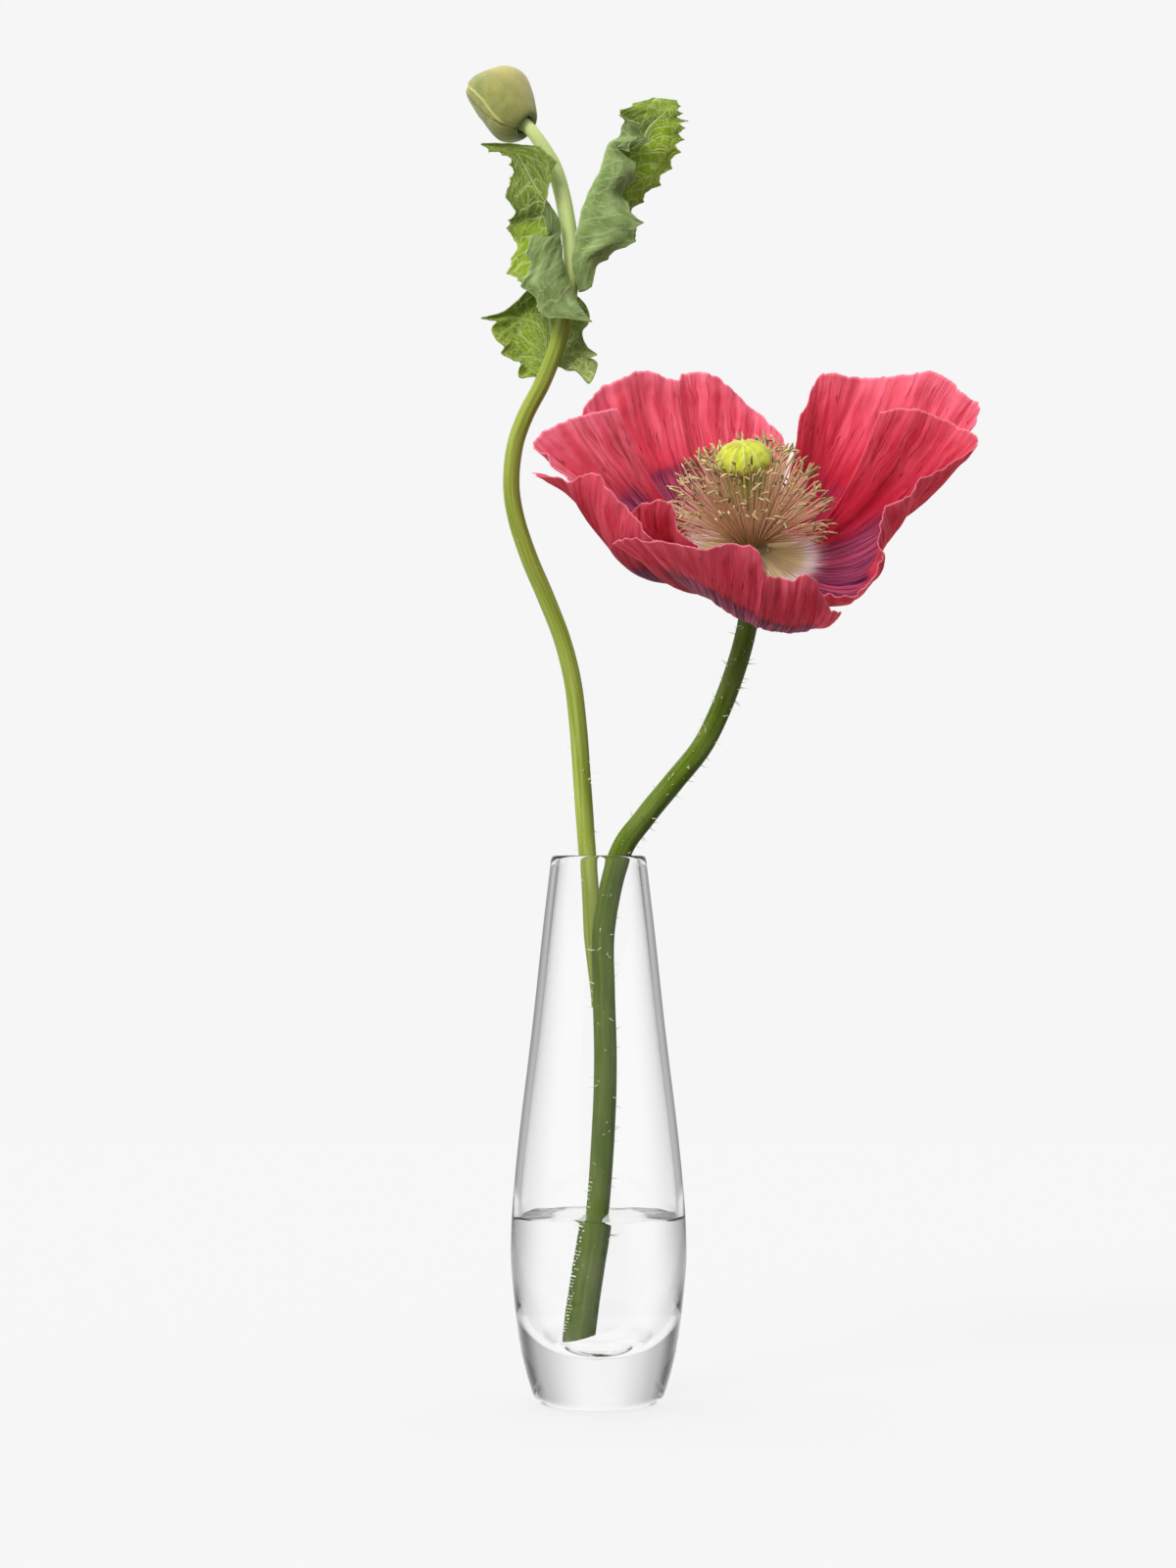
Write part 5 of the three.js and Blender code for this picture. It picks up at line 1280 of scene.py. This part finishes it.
def leafTones(node, leaf, u, v, along, across, width):
    midrib = across - leaf["midrib"] * width
    if node == "leaf_right":  # its open end turns, and the rib comes out from under the fold
        midrib = across - lerp(0.6, 0.78, smooth(u, 0.62, 1)) * width * np.ones_like(across)
        midrib = np.where(u > 0.56, midrib, across - leaf["midrib"] * width)
    if node == "leaf_lower":  # its main veins fan out from the stalk, with twigs between them
        fan = np.abs((v * 9 + 0.25 * roughness(u * 3, v * 9, 2.0)) % 1 - 0.5) * 2
        main = smooth(fan, 0.16, 0.03) * smooth(u, 1.1, 0.3) * 0.8
        twig = np.abs((v * 27 + u * 6 * np.sign(v - 0.5) + 0.5 * roughness(u * 6, v * 20, 5.0)) % 1 - 0.5) * 2
        veins = np.maximum(main, 0.35 * smooth(twig, 0.4, 0.1))
        # Painted glow: yellow-green where light shines through the blade
        glow = smooth(v, 0.5, 0.3) * smooth(u, 0.1, 0.4) * 0.85
    else:
        rib = np.exp(-((midrib / leafSheet["ribWidth"]) ** 2)) * smooth(u, 1.0, 0.8)
        side = along - leaf["slope"] * np.abs(midrib) + 1.6 * roughness(along / 7, across / 7, 3.0)
        twig = np.abs((side / leafSheet["veinSpacing"]) % 1 - 0.5) * 2
        veins = np.maximum(rib, 0.75 * smooth(twig, 0.16, 0.03) * smooth(np.abs(midrib), 0, 1.5))
        # Painted glow: yellow-green where light shines through the blade, and at the tip
        if node == "leaf_left":
            glow = smooth(v, 0.5, 0.36) * smooth(u, 0.2, 0.3) * smooth(u, 0.6, 0.5)
            glow = glow + 0.5 * smooth(u, 0.82, 0.92)
        else:
            glow = smooth(v, 0.6, 0.75) * smooth(u, 0.25, 0.4) * smooth(u, 0.85, 0.7)
            glow = glow + 0.6 * smooth(u, 0.78, 0.86)
    edge = smooth(np.minimum(v, 1 - v) * width, leafSheet["edgeWidth"], 0.1) * 0.5
    wax = smooth(v, 0.62, 0.75) * 0.9 if node == "leaf_lower" else 0 * v
    return np.stack(np.broadcast_arrays(veins, glow, edge, wax + 0 * along), -1)


def makeLeaves():
    blades = [leafMaterial(name, looks) for name, looks in leafSides.items()]
    for seed, (node, leaf) in enumerate(leaves.items()):
        rough = leafPlaces(leaf, np.linspace(0, 1, 60), np.linspace(0, 1, 40))
        length = np.median(travelled(rough, 0)[-1])
        width = np.percentile(travelled(rough, 1)[:, -1], 80)
        rows, columns = (int(size / leafSheet["spacing"]) + 2 for size in (length, width))
        u, v = np.linspace(0, 1, rows), np.linspace(0, 1, columns)
        places = leafPlaces(leaf, u, v)
        along, across = travelled(places, 0), v[None] * width * np.ones((rows, 1))
        tones = leafTones(node, leaf, u[:, None], v[None], along, across, width)
        puckerSize, grainSize = leafSheet["puckerSize"], leafSheet["grainSize"]
        relief = leafSheet["pucker"] * roughness(across / puckerSize, along / puckerSize, seed * 5.0)
        relief += leafSheet["grain"] * roughness(across / grainSize, along / grainSize, 2.0)
        narrow = np.clip(travelled(places, 1)[:, -1:] / width, 0.15, 1)
        relief = relief * smooth(u, 0, 0.15)[:, None] * narrow - leafSheet["veinDip"] * tones[..., 0]
        places = places + sheetNormals(places) * relief[..., None]
        piece = sheetPiece(node + "_blade", places, across, along, tones)
        for material in blades:
            piece.data.materials.append(material)
        thicken(piece, leafSheet["thickness"], 1)
        moveMesh(piece, Matrix.Translation(Vector(leafSheet["origin"]) * mm))
        dress(piece, [], "leaf", node)


makeStudio()
makeVase()
makeWater()
makeStems()
makeBud()
makeLeaves()
makePetals()
makeStamens()
makePistil()
